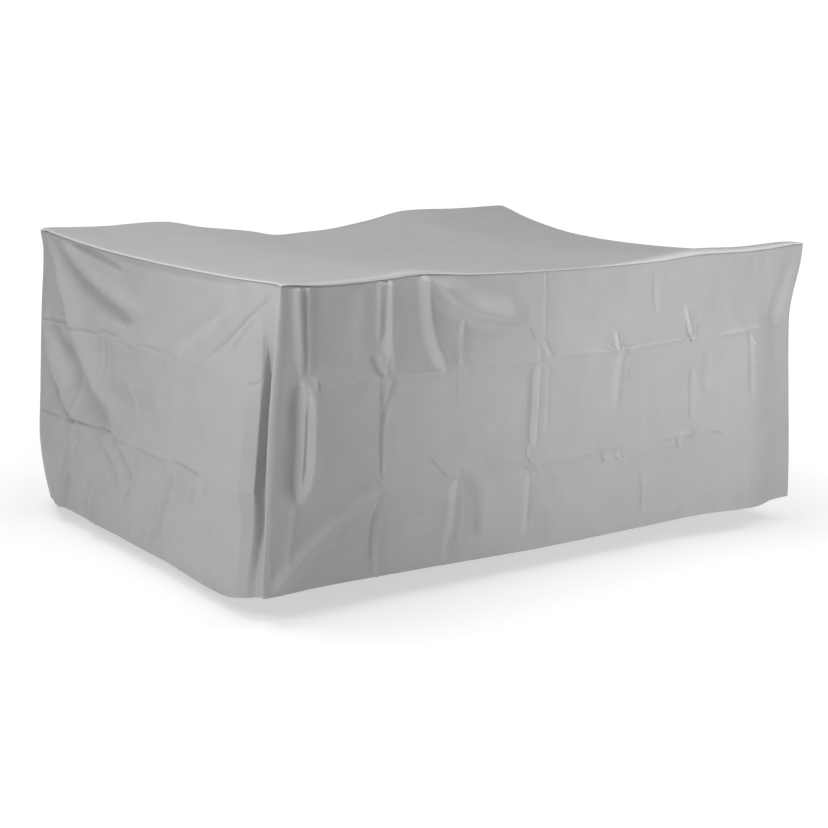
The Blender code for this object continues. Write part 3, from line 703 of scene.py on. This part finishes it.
LEFT_FOLDS = (
    # The strong fold down from the far top corner, and the hollow under it.
    Fold(
        (
            (1.800, 0.985), (1.655, 0.850), (1.568, 0.768), (1.490, 0.700), (1.405, 0.625),
            (1.330, 0.555), (1.243, 0.487), (1.160, 0.425), (1.030, 0.330),
        ),
        0.040, 0.030, 0.5, 0.2,
    ),
    Fold(((1.580, 0.580), (1.440, 0.475), (1.300, 0.385), (1.180, 0.322), (1.050, 0.265)), 0.045, -0.027),
    Fold(((1.170, 0.350), (1.110, 0.312), (1.020, 0.255), (0.920, 0.185), (0.870, 0.145)), 0.017, -0.014),
    Fold(((1.300, 0.300), (1.150, 0.228), (1.050, 0.165), (0.980, 0.110)), 0.024, -0.013),
    # The soft one above it, and the hollows under the sagging seam.
    Fold(
        ((1.680, 0.980), (1.510, 0.875), (1.350, 0.822), (1.200, 0.780), (1.050, 0.755), (0.930, 0.750)),
        0.034, 0.016,
    ),
    Fold(
        (
            (1.760, 0.985), (1.655, 0.872), (1.545, 0.812), (1.400, 0.762),
            (1.220, 0.722), (1.050, 0.700), (0.960, 0.705),
        ),
        0.034, -0.021,
    ),
    Fold(((1.600, 0.945), (1.400, 0.905), (1.280, 0.885), (1.120, 0.862)), 0.016, -0.012),
    Fold(((0.200, 0.928), (0.500, 0.912), (0.850, 0.902), (1.300, 0.904)), 0.012, -0.006),
    # The fold inside the far end, between two troughs.
    Fold(
        ((1.715, 0.730), (1.695, 0.610), (1.655, 0.532), (1.580, 0.460), (1.490, 0.395), (1.340, 0.285)),
        0.026, 0.022, 0.2, 0.3,
    ),
    Fold(
        ((1.772, 0.710), (1.750, 0.570), (1.705, 0.500), (1.625, 0.432), (1.545, 0.375), (1.380, 0.280)),
        0.020, -0.019,
    ),
    Fold(((1.690, 0.615), (1.585, 0.538), (1.490, 0.455), (1.420, 0.380)), 0.034, -0.023),
    # The upright crease that crosses both, and bends away towards the hem.
    Fold(((1.452, 0.590), (1.432, 0.505), (1.406, 0.440), (1.392, 0.375), (1.386, 0.290)), 0.008, 0.006, 0.4),
    Fold(((1.382, 0.410), (1.368, 0.300)), 0.009, 0.003),
    Fold(
        ((1.380, 0.330), (1.380, 0.235), (1.396, 0.160), (1.428, 0.090), (1.472, 0.020), (1.560, -0.090)),
        0.013, 0.013, 0.2,
    ),
    Fold(((1.405, 0.260), (1.424, 0.185), (1.458, 0.115), (1.510, 0.035)), 0.009, -0.009, 0.3),
    Fold(((1.400, 0.140), (1.428, 0.065), (1.463, 0.010), (1.510, -0.050)), 0.013, -0.013),
    Fold(((1.363, 0.305), (1.355, 0.210)), 0.010, -0.007, 0.3),
    Fold(((1.080, 0.180), (1.140, 0.070), (1.235, -0.070)), 0.012, 0.010),
    Fold(((1.140, 0.130), (1.190, 0.045), (1.275, -0.065)), 0.010, 0.009),
    Fold(((1.160, 0.110), (1.215, 0.030), (1.260, -0.035)), 0.009, -0.006),
    Fold(((1.225, 0.110), (1.275, 0.020), (1.310, -0.050)), 0.017, -0.006),
    Fold(((0.903, 0.156), (0.935, 0.110), (0.970, 0.056)), 0.006, -0.005, 0.5),
    Fold(((0.895, 0.145), (0.927, 0.095)), 0.008, 0.003),
    # The middle crease, which wanders, and the hollows beside it.
    Fold(((0.932, 0.900), (0.927, 0.800), (0.942, 0.730), (0.955, 0.645)), 0.008, 0.002, 0.4),
    Fold(((0.948, 0.655), (0.965, 0.585), (0.984, 0.540), (1.004, 0.490)), 0.009, 0.003, 0.4),
    Fold(((1.006, 0.520), (0.966, 0.465), (0.928, 0.410), (0.888, 0.345)), 0.009, 0.005, 0.4),
    Fold(((0.740, 0.445), (0.880, 0.430), (1.060, 0.425), (1.210, 0.455)), 0.060, -0.016, 0.3, 0.2),
    Fold(((0.900, 0.360), (0.898, 0.285)), 0.009, 0.003, 0.3),
    Fold(((0.886, 0.300), (0.877, 0.200), (0.872, 0.100)), 0.011, 0.005, 0.2),
    Fold(((0.868, 0.260), (0.864, 0.150)), 0.007, -0.003, 0.3),
    Fold(((0.850, 0.343), (0.910, 0.352), (0.980, 0.357)), 0.006, -0.002, 0.5),
    # Short upright creases under the upper pressed crease.
    Fold(((0.748, 0.580), (0.728, 0.480), (0.704, 0.375)), 0.008, -0.0025, 0.3),
    Fold(((0.730, 0.570), (0.710, 0.480), (0.690, 0.390)), 0.007, 0.003, 0.3),
    Fold(((0.760, 0.565), (0.745, 0.470), (0.730, 0.400)), 0.010, 0.002),
    Fold(((0.728, 0.615), (0.716, 0.555)), 0.009, -0.003, 0.3),
    Fold(((0.490, 0.605), (0.472, 0.543)), 0.007, -0.002, 0.4),
    Fold(((0.473, 0.642), (0.461, 0.614)), 0.006, -0.003, 0.4),
    Fold(((0.444, 0.512), (0.431, 0.460), (0.420, 0.408)), 0.011, -0.002, 0.2),
    Fold(((1.158, 0.610), (1.148, 0.560), (1.136, 0.504)), 0.009, -0.003, 0.3),
    Fold(((1.204, 0.640), (1.193, 0.575), (1.176, 0.485)), 0.008, -0.003, 0.4),
    Fold(((1.215, 0.645), (1.205, 0.570), (1.191, 0.490)), 0.010, 0.0035, 0.2),
    # The creases that fan out from the near top corner.
    Fold(
        ((0.030, 0.955), (0.115, 0.885), (0.200, 0.832), (0.310, 0.757), (0.470, 0.650)),
        0.008, -0.006, 0.4, 0.4,
    ),
    Fold(((0.135, 0.842), (0.215, 0.778), (0.310, 0.690)), 0.007, -0.004, 0.4, 0.3),
    Fold(((0.050, 0.920), (0.106, 0.870)), 0.006, -0.003, 0.3),
    Fold(((0.360, 0.830), (0.520, 0.760), (0.640, 0.695), (0.730, 0.635)), 0.026, -0.005),
    Fold(((0.250, 0.860), (0.400, 0.770), (0.520, 0.700), (0.600, 0.650)), 0.035, 0.005),
    Fold(((0.698, 0.690), (0.734, 0.638)), 0.009, 0.004, 0.2),
    Fold(((0.085, 0.670), (0.112, 0.645), (0.140, 0.632), (0.165, 0.630)), 0.006, -0.003, 0.4),
    Fold(((0.090, 0.293), (0.125, 0.283)), 0.006, -0.002, 0.4),
    # The upper pressed crease.
    Fold(((0.100, 0.640), (1.900, 0.636)), 0.060, 0.007),
    Fold(((0.450, 0.650), (0.520, 0.630), (0.620, 0.633), (0.730, 0.637)), 0.005, -0.002, 0.5),
    Fold(((0.705, 0.631), (0.790, 0.642), (0.860, 0.641), (0.965, 0.636)), 0.005, -0.003, 0.5),
    Fold(((0.945, 0.621), (1.030, 0.622), (1.115, 0.631)), 0.005, -0.003, 0.5),
    Fold(((1.075, 0.650), (1.140, 0.642), (1.190, 0.648), (1.290, 0.634)), 0.006, -0.005, 0.5),
    Fold(((1.240, 0.632), (1.360, 0.632), (1.500, 0.628)), 0.006, -0.006, 0.5),
    Fold(((1.495, 0.641), (1.600, 0.632), (1.730, 0.628)), 0.006, -0.007, 0.5),
    # The lower pressed crease.
    Fold(((-0.100, 0.300), (1.900, 0.294)), 0.050, 0.007),
    Fold(((0.365, 0.300), (0.440, 0.298), (0.520, 0.303), (0.615, 0.303)), 0.007, -0.006, 0.4),
    Fold(((0.420, 0.287), (0.500, 0.289), (0.600, 0.289)), 0.008, 0.003, 0.3),
    Fold(((0.600, 0.306), (0.750, 0.303), (0.900, 0.306)), 0.007, 0.004, 0.5),
    Fold(((0.610, 0.297), (0.760, 0.294), (0.900, 0.298)), 0.006, -0.003, 0.5),
    Fold(((0.885, 0.298), (1.000, 0.293), (1.110, 0.299)), 0.006, -0.004, 0.5),
    Fold(((1.040, 0.312), (1.200, 0.314), (1.380, 0.314)), 0.010, 0.006, 0.3),
    Fold(((1.070, 0.299), (1.200, 0.302), (1.370, 0.301), (1.510, 0.294)), 0.007, -0.009, 0.5),
    Fold(((1.450, 0.288), (1.540, 0.292), (1.620, 0.290), (1.790, 0.279)), 0.007, -0.006, 0.4),
    # Folds that hang from it to the hem.
    Fold(((0.575, 0.285), (0.630, 0.180), (0.670, 0.090), (0.715, -0.015)), 0.012, -0.005),
    Fold(((0.600, 0.265), (0.650, 0.170), (0.682, 0.100), (0.715, 0.015)), 0.012, 0.005),
    Fold(((0.696, 0.148), (0.717, 0.062)), 0.010, -0.004),
    Fold(((0.708, 0.058), (0.762, -0.026)), 0.010, -0.005, 0.2),
    Fold(((0.794, 0.030), (0.822, -0.026)), 0.008, -0.004, 0.3),
    Fold(((0.900, 0.042), (0.921, -0.032)), 0.009, -0.004, 0.3),
    Fold(((0.345, 0.290), (0.385, 0.230)), 0.016, 0.005),
    Fold(((0.432, 0.250), (0.470, 0.185)), 0.010, -0.005, 0.3),
    # The far bottom corner is tucked in: the cloth turns away well before it.
    Fold(
        ((1.690, 0.330), (1.650, 0.190), (1.600, 0.080), (1.570, -0.030), (1.550, -0.200)),
        0.065, 0.011, 0.1, 0.35,
    ),
)
LEFT_HEM = (
    Hem(0.00, -0.017, 0.000), Hem(0.10, -0.036, 0.022), Hem(0.22, -0.056, 0.032), Hem(0.60, -0.053, 0.028),
    Hem(1.20, -0.050, 0.036), Hem(1.60, -0.047, 0.036), Hem(1.80, -0.062, 0.000),
)
# The far corner is rounded off more and more towards the hem.
TUCKED_ROUNDING = (
    Rounding(0.00, 0.003), Rounding(0.06, 0.012), Rounding(0.45, 0.022), Rounding(0.70, 0.045),
    Rounding(0.90, 0.100), Rounding(1.00, 0.110),
)

# The flute's depth at each height, and where the wall comes level again beside it.
Flute = namedtuple("Flute", "up depth end")
NEAR_FLUTE = (
    Flute(-0.06, 0.018, 0.121), Flute(0.08, 0.040, 0.121), Flute(0.20, 0.062, 0.122),
    Flute(0.34, 0.076, 0.147), Flute(0.50, 0.078, 0.148), Flute(0.66, 0.058, 0.154),
    Flute(0.80, 0.018, 0.154), Flute(0.92, 0.000, 0.154),
)
# Its section: it falls in behind the corner, then climbs out steeply and at last more gently.
Step = namedtuple("Step", "along share")
FLUTE_SECTION = (
    Step(0.00, 0.00), Step(0.10, 0.00), Step(0.22, 1.00),
    Step(0.63, 1.00), Step(0.70, 0.40), Step(1.00, 0.00),
)
FLUTE_FROM_SEAM = 0.04
# From this share of its width on it turns crisp. Before that, these shifts soften its section.
CRISP_START = 0.35
CRISP_FADE = 0.2
SOFT_SHIFTS = (-0.04, -0.01, 0.01, 0.04)
# Where it is deeper than this, its far side folds back under itself, by this share of the rest.
OVERLAP_START = 0.030
OVERLAP_SHARE = 0.5


def near_flute(along, up, under_seam):
    """How far the flute falls in at each point, and how far its far side is moved back under itself."""
    at = along / read_table(NEAR_FLUTE, up, 2)
    places, shares = np.array(FLUTE_SECTION).T
    soft = np.mean([np.interp(at + shift, places, shares) for shift in SOFT_SHIFTS], axis=0)
    crisp = np.interp(at, places, shares)
    far_side = smooth((at - CRISP_START) / CRISP_FADE)
    section = soft * (1 - far_side) + crisp * far_side
    deep = read_table(NEAR_FLUTE, up, 1) * section * smooth(under_seam / FLUTE_FROM_SEAM)
    return deep, OVERLAP_SHARE * np.clip(deep - OVERLAP_START, 0, None)


left_lines = merge_lines(
    graded(WIDTH, wide=0.0052, close=0.0014, places=(0.0, 0.024, 0.101, WIDTH), reach=0.007),
    graded(WIDTH, wide=0.0052, close=0.0038, places=(0.15, 0.72, 0.92, 1.18, 1.42), reach=0.040),
)
left = wall_cloth(
    "left_cloth", FRONT_LEFT, BACK_LEFT, LEFT_EDGE, LEFT_HEM, LEFT_FOLDS, left_lines,
    recover=2.0, seed=21, flute=near_flute, end_rounding=TUCKED_ROUNDING,
)
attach(left, "root")
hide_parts("wall_left")

# ---------------------------------------------------------------- Right wall
# The panel at the right end, cut and creased like the left one, with the same cloth and hem.
# It hangs from its two top corners, and soft folds run down from both of them.

RIGHT_FOLDS = (
    Fold(((0.040, 0.930), (0.220, 0.780), (0.430, 0.610), (0.640, 0.420)), 0.045, 0.019),
    Fold(((0.120, 0.700), (0.320, 0.520), (0.520, 0.360)), 0.055, -0.016),
    Fold(((1.760, 0.920), (1.640, 0.760), (1.470, 0.630), (1.280, 0.520)), 0.048, 0.017),
    Fold(((1.660, 0.700), (1.480, 0.540), (1.300, 0.400)), 0.055, -0.014),
    Fold(((0.420, 0.300), (0.380, 0.160), (0.300, -0.030)), 0.030, 0.012),
    Fold(((1.380, 0.300), (1.420, 0.150), (1.500, -0.030)), 0.032, 0.014),
    Fold(((0.900, 0.620), (0.915, 0.300), (0.900, 0.000)), 0.055, 0.009),
    Fold(((0.250, 0.880), (0.600, 0.845), (0.900, 0.835), (1.400, 0.860)), 0.020, -0.007),
    Fold(((0.100, 0.640), (0.900, 0.644), (1.700, 0.640)), 0.060, 0.008),
    Fold(((0.150, 0.637), (0.600, 0.641), (1.050, 0.636)), 0.006, 0.0035, 0.5),
    Fold(((1.040, 0.645), (1.350, 0.640), (1.690, 0.633)), 0.006, 0.0035, 0.5),
    Fold(((0.100, 0.300), (0.900, 0.296), (1.700, 0.300)), 0.060, 0.008),
    Fold(((0.150, 0.296), (0.520, 0.301), (0.900, 0.297)), 0.006, 0.0035, 0.5),
    Fold(((0.890, 0.291), (1.250, 0.295), (1.680, 0.299)), 0.006, 0.0035, 0.5),
    Fold(((0.318, 0.640), (0.324, 0.480), (0.316, 0.310)), 0.010, 0.003, 0.3),
    Fold(((0.640, 0.880), (0.652, 0.760), (0.648, 0.650)), 0.008, 0.0025, 0.4),
    Fold(((0.646, 0.290), (0.640, 0.160), (0.650, 0.020)), 0.010, 0.004, 0.2),
    Fold(((0.968, 0.640), (0.976, 0.500), (0.964, 0.320)), 0.009, 0.003, 0.4),
    Fold(((1.290, 0.630), (1.302, 0.480), (1.296, 0.310)), 0.009, -0.003, 0.4),
    Fold(((1.610, 0.290), (1.600, 0.140), (1.615, 0.010)), 0.012, 0.004, 0.2),
    Fold(((0.640, 0.665), (0.652, 0.630)), 0.006, -0.0045, 0.4),
    Fold(((0.955, 0.310), (0.985, 0.282)), 0.006, -0.0045, 0.4),
    Fold(((1.280, 0.320), (1.305, 0.285)), 0.006, -0.0045, 0.4),
)
RIGHT_HEM = (
    Hem(0.00, -0.013, 0.000), Hem(0.50, -0.032, 0.016), Hem(1.30, -0.040, 0.020), Hem(1.80, -0.034, 0.000),
)

right_lines = graded(WIDTH, wide=0.0075, close=0.0014, places=(0.0, WIDTH), reach=0.006)
right = wall_cloth(
    "right_cloth", FRONT_RIGHT, BACK_RIGHT, RIGHT_EDGE, RIGHT_HEM, RIGHT_FOLDS, right_lines,
    recover=2.0, seed=31,
)
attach(right, "root")
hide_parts("wall_right")

# ---------------------------------------------------------------- Back wall
# The long panel at the back, of the same cloth, cut like the front one and creased in the same places.
# It ends at the tucked-in corner that it shares with the left wall.

BACK_FOLDS = (
    Fold(((0.530, 0.940), (0.560, 0.820), (0.600, 0.720), (0.640, 0.640)), 0.040, 0.019),
    Fold(((0.560, 0.930), (0.740, 0.840), (0.920, 0.760)), 0.048, 0.015),
    Fold(((1.670, 0.940), (1.640, 0.820), (1.600, 0.720), (1.560, 0.640)), 0.040, 0.019),
    Fold(((1.640, 0.930), (1.470, 0.840), (1.300, 0.770)), 0.048, 0.015),
    Fold(((0.020, 0.020), (0.200, 0.190), (0.380, 0.340)), 0.045, 0.017),
    Fold(((2.180, 0.020), (2.020, 0.200), (1.860, 0.360)), 0.045, 0.015),
    Fold(((0.370, 0.900), (0.366, 0.600), (0.360, 0.300)), 0.040, 0.011),
    Fold(((1.100, 0.640), (1.094, 0.300), (1.080, 0.020)), 0.050, 0.009),
    Fold(((1.820, 0.640), (1.834, 0.460), (1.840, 0.300)), 0.040, -0.010),
    Fold(((0.620, 0.905), (1.100, 0.872), (1.550, 0.905)), 0.018, -0.006),
    Fold(((0.060, 0.640), (1.100, 0.646), (2.140, 0.640)), 0.060, 0.008),
    Fold(((0.080, 0.641), (0.560, 0.645), (1.080, 0.640)), 0.006, 0.0035, 0.5),
    Fold(((1.070, 0.646), (1.600, 0.641), (2.120, 0.646)), 0.006, 0.0035, 0.5),
    Fold(((0.060, 0.300), (1.100, 0.296), (2.140, 0.300)), 0.060, 0.008),
    Fold(((0.080, 0.298), (0.600, 0.302), (1.100, 0.296)), 0.006, 0.0035, 0.5),
    Fold(((1.090, 0.303), (1.500, 0.299), (2.120, 0.303)), 0.006, 0.0035, 0.5),
    Fold(((0.352, 0.640), (0.358, 0.480), (0.350, 0.310)), 0.008, -0.003, 0.4),
    Fold(((0.700, 0.640), (0.694, 0.480), (0.704, 0.310)), 0.010, 0.003, 0.3),
    Fold(((1.046, 0.900), (1.054, 0.760), (1.048, 0.650)), 0.007, 0.0025, 0.5),
    Fold(((1.050, 0.290), (1.060, 0.150), (1.052, 0.020)), 0.010, 0.004, 0.2),
    Fold(((1.400, 0.640), (1.392, 0.480), (1.402, 0.310)), 0.009, 0.003, 0.4),
    Fold(((1.750, 0.290), (1.742, 0.150), (1.752, 0.010)), 0.010, 0.004, 0.2),
    Fold(((1.036, 0.660), (1.062, 0.628)), 0.006, -0.0045, 0.4),
    Fold(((0.690, 0.318), (0.712, 0.285)), 0.006, -0.0045, 0.4),
)
BACK_HEM = (
    Hem(0.00, -0.062, 0.000), Hem(0.60, -0.050, 0.012), Hem(1.60, -0.046, 0.008), Hem(2.20, -0.034, 0.000),
)

back_lines = graded(LENGTH, wide=0.0085, close=0.0014, places=(0.0, LENGTH), reach=0.006)
back = wall_cloth(
    "back_cloth", BACK_LEFT, BACK_RIGHT, BACK_EDGE, BACK_HEM, BACK_FOLDS, back_lines,
    recover=3.0, seed=41, start_rounding=TUCKED_ROUNDING,
)
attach(back, "root")
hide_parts("wall_back")

# ---------------------------------------------------------------- Floor, light and camera
# A plain white floor that curves up far away, and soft lights, the strongest of them above and on the left.
# The camera looks at the near corner from a little above the top.

FLOOR_HEIGHT = -0.956
FLOOR_SIDES = 64
FLAT_REACH = 9.0
FLAT_RINGS = 9
CURVE_START = 11.0
CURVE_REACH = 30.0
CURVE_RINGS = 12
CURVE_RISE = 9.0
CURVE_POWER = 1.5
# The backdrop looks brighter than it lights the cover, and whiter further away.
FLOOR_GLOW = 0.30


def studio_floor():
    flat = np.linspace(0, FLAT_REACH, FLAT_RINGS + 1)[1:]
    rings = np.concatenate([flat, np.linspace(CURVE_START, CURVE_REACH, CURVE_RINGS)])
    climb = smooth((rings - FLAT_REACH) / (CURVE_REACH - FLAT_REACH)) ** CURVE_POWER
    turns = np.linspace(0, 2 * math.pi, FLOOR_SIDES, endpoint=False)
    points = [
        (r * math.cos(turn), r * math.sin(turn), FLOOR_HEIGHT + CURVE_RISE * rise)
        for r, rise in zip(rings, climb)
        for turn in turns
    ]
    faces = [tuple(range(FLOOR_SIDES))]
    for ring in range(len(rings) - 1):
        for k in range(FLOOR_SIDES):
            a, b = ring * FLOOR_SIDES + k, ring * FLOOR_SIDES + (k + 1) % FLOOR_SIDES
            faces.append((a, a + FLOOR_SIDES, b + FLOOR_SIDES, b))
    mesh = bpy.data.meshes.new("studio_floor")
    mesh.from_pydata(points, [], faces)
    mesh.shade_smooth()
    material = bpy.data.materials.new("pale_floor")
    material.use_nodes = True
    tree = material.node_tree
    place = add_node(tree, "ShaderNodeTexCoord", {})
    far = add_node(tree, "ShaderNodeVectorMath", {0: place.outputs["Object"]}, operation="LENGTH")
    glow = add_node(
        tree, "ShaderNodeMapRange",
        {"Value": far.outputs["Value"], "From Min": 1.8, "From Max": 5.0, "To Min": 0.55, "To Max": 1.0},
    )
    seen = add_node(tree, "ShaderNodeLightPath", {})
    strength = add_node(
        tree, "ShaderNodeMapRange",
        {"Value": seen.outputs["Is Camera Ray"], "To Min": FLOOR_GLOW, "To Max": glow.outputs["Result"]},
    )
    fill_sockets(tree, tree.nodes["Principled BSDF"], {
        "Base Color": (0.55, 0.55, 0.55, 1.0), "Roughness": 0.9, "Specular IOR Level": 0.1,
        "Emission Color": (1.0, 1.0, 1.0, 1.0), "Emission Strength": strength.outputs["Result"],
    })
    mesh.materials.append(material)
    floor = bpy.data.objects.new("studio_floor", mesh)
    bpy.context.scene.collection.objects.link(floor)


studio_floor()

COVER_MIDDLE = (0.0, 0.0, -0.3)
FRONT_MIDDLE = (0.9, 0.0, -0.3)
FRONT_RIGHT_PART = (0.9, -0.9, -0.15)


def soft_light(name, place, aim, width, height, power, spread=180):
    """A rectangle of soft light, which isn't seen itself. spread is its cone, in degrees."""
    lamp = bpy.data.lights.new(name, "AREA")
    lamp.shape = "RECTANGLE"
    lamp.size = width
    lamp.size_y = height
    lamp.energy = power
    lamp.spread = math.radians(spread)
    holder = bpy.data.objects.new(name, lamp)
    holder.location = place
    holder.rotation_euler = (Vector(aim) - Vector(place)).to_track_quat("-Z", "Y").to_euler()
    holder.visible_camera = False
    bpy.context.scene.collection.objects.link(holder)


soft_light("top_softbox", (0.0, 0.0, 4.2), COVER_MIDDLE, 3.0, 3.0, 94)
soft_light("left_softbox", (-2.70, -1.20, 1.10), COVER_MIDDLE, 1.0, 1.0, 20)
soft_light("left_low_softbox", (-4.23, -1.54, -0.20), COVER_MIDDLE, 1.6, 0.6, 16)
soft_light("left_high_softbox", (-2.22, 0.39, 3.60), COVER_MIDDLE, 1.6, 1.6, 57)
soft_light("front_beam", (-2.25, -4.17, -0.15), FRONT_RIGHT_PART, 1.0, 0.5, 6.2, spread=44)
soft_light("front_softbox", (0.90, -2.70, 0.50), FRONT_MIDDLE, 1.0, 1.0, 4)
soft_light("right_softbox", (2.72, -2.28, 2.47), COVER_MIDDLE, 1.6, 1.6, 46)
soft_light("back_softbox", (-1.20, 4.20, 1.90), COVER_MIDDLE, 1.6, 1.6, 20)
soft_light("right_low_softbox", (4.20, 0.40, -0.10), COVER_MIDDLE, 1.6, 0.6, 10)

# The world looks white, but lights the cover only a little.
WORLD_GLOW = 0.06
world = bpy.data.worlds.new("studio")
world.use_nodes = True
tree = world.node_tree
seen = add_node(tree, "ShaderNodeLightPath", {})
white = add_node(
    tree, "ShaderNodeMapRange", {"Value": seen.outputs["Is Camera Ray"], "To Min": WORLD_GLOW, "To Max": 1.0}
)
fill_sockets(tree, tree.nodes["Background"], {
    "Color": (1.0, 1.0, 1.0, 1.0), "Strength": white.outputs["Result"],
})
bpy.context.scene.world = world
bpy.context.scene.view_settings.view_transform = "Standard"

# The camera's place, its focal length, and its angles in degrees: turned to the right, dipped and rolled.
CAMERA_PLACE = (-3.5826, -5.1655, 0.7742)
FOCAL_LENGTH = 73.586
CAMERA_TURN = 34.771
CAMERA_DIP = 12.097
CAMERA_ROLL = 0.489
lens = bpy.data.cameras.new("camera")
lens.lens = FOCAL_LENGTH
lens.sensor_width = 36.0
camera = bpy.data.objects.new("camera", lens)
camera.matrix_world = (
    Matrix.Translation(CAMERA_PLACE)
    @ Matrix.Rotation(math.radians(-CAMERA_TURN), 4, "Z")
    @ Matrix.Rotation(math.radians(90 - CAMERA_DIP), 4, "X")
    @ Matrix.Rotation(math.radians(CAMERA_ROLL), 4, "Z")
)
bpy.context.scene.collection.objects.link(camera)
bpy.context.scene.camera = camera
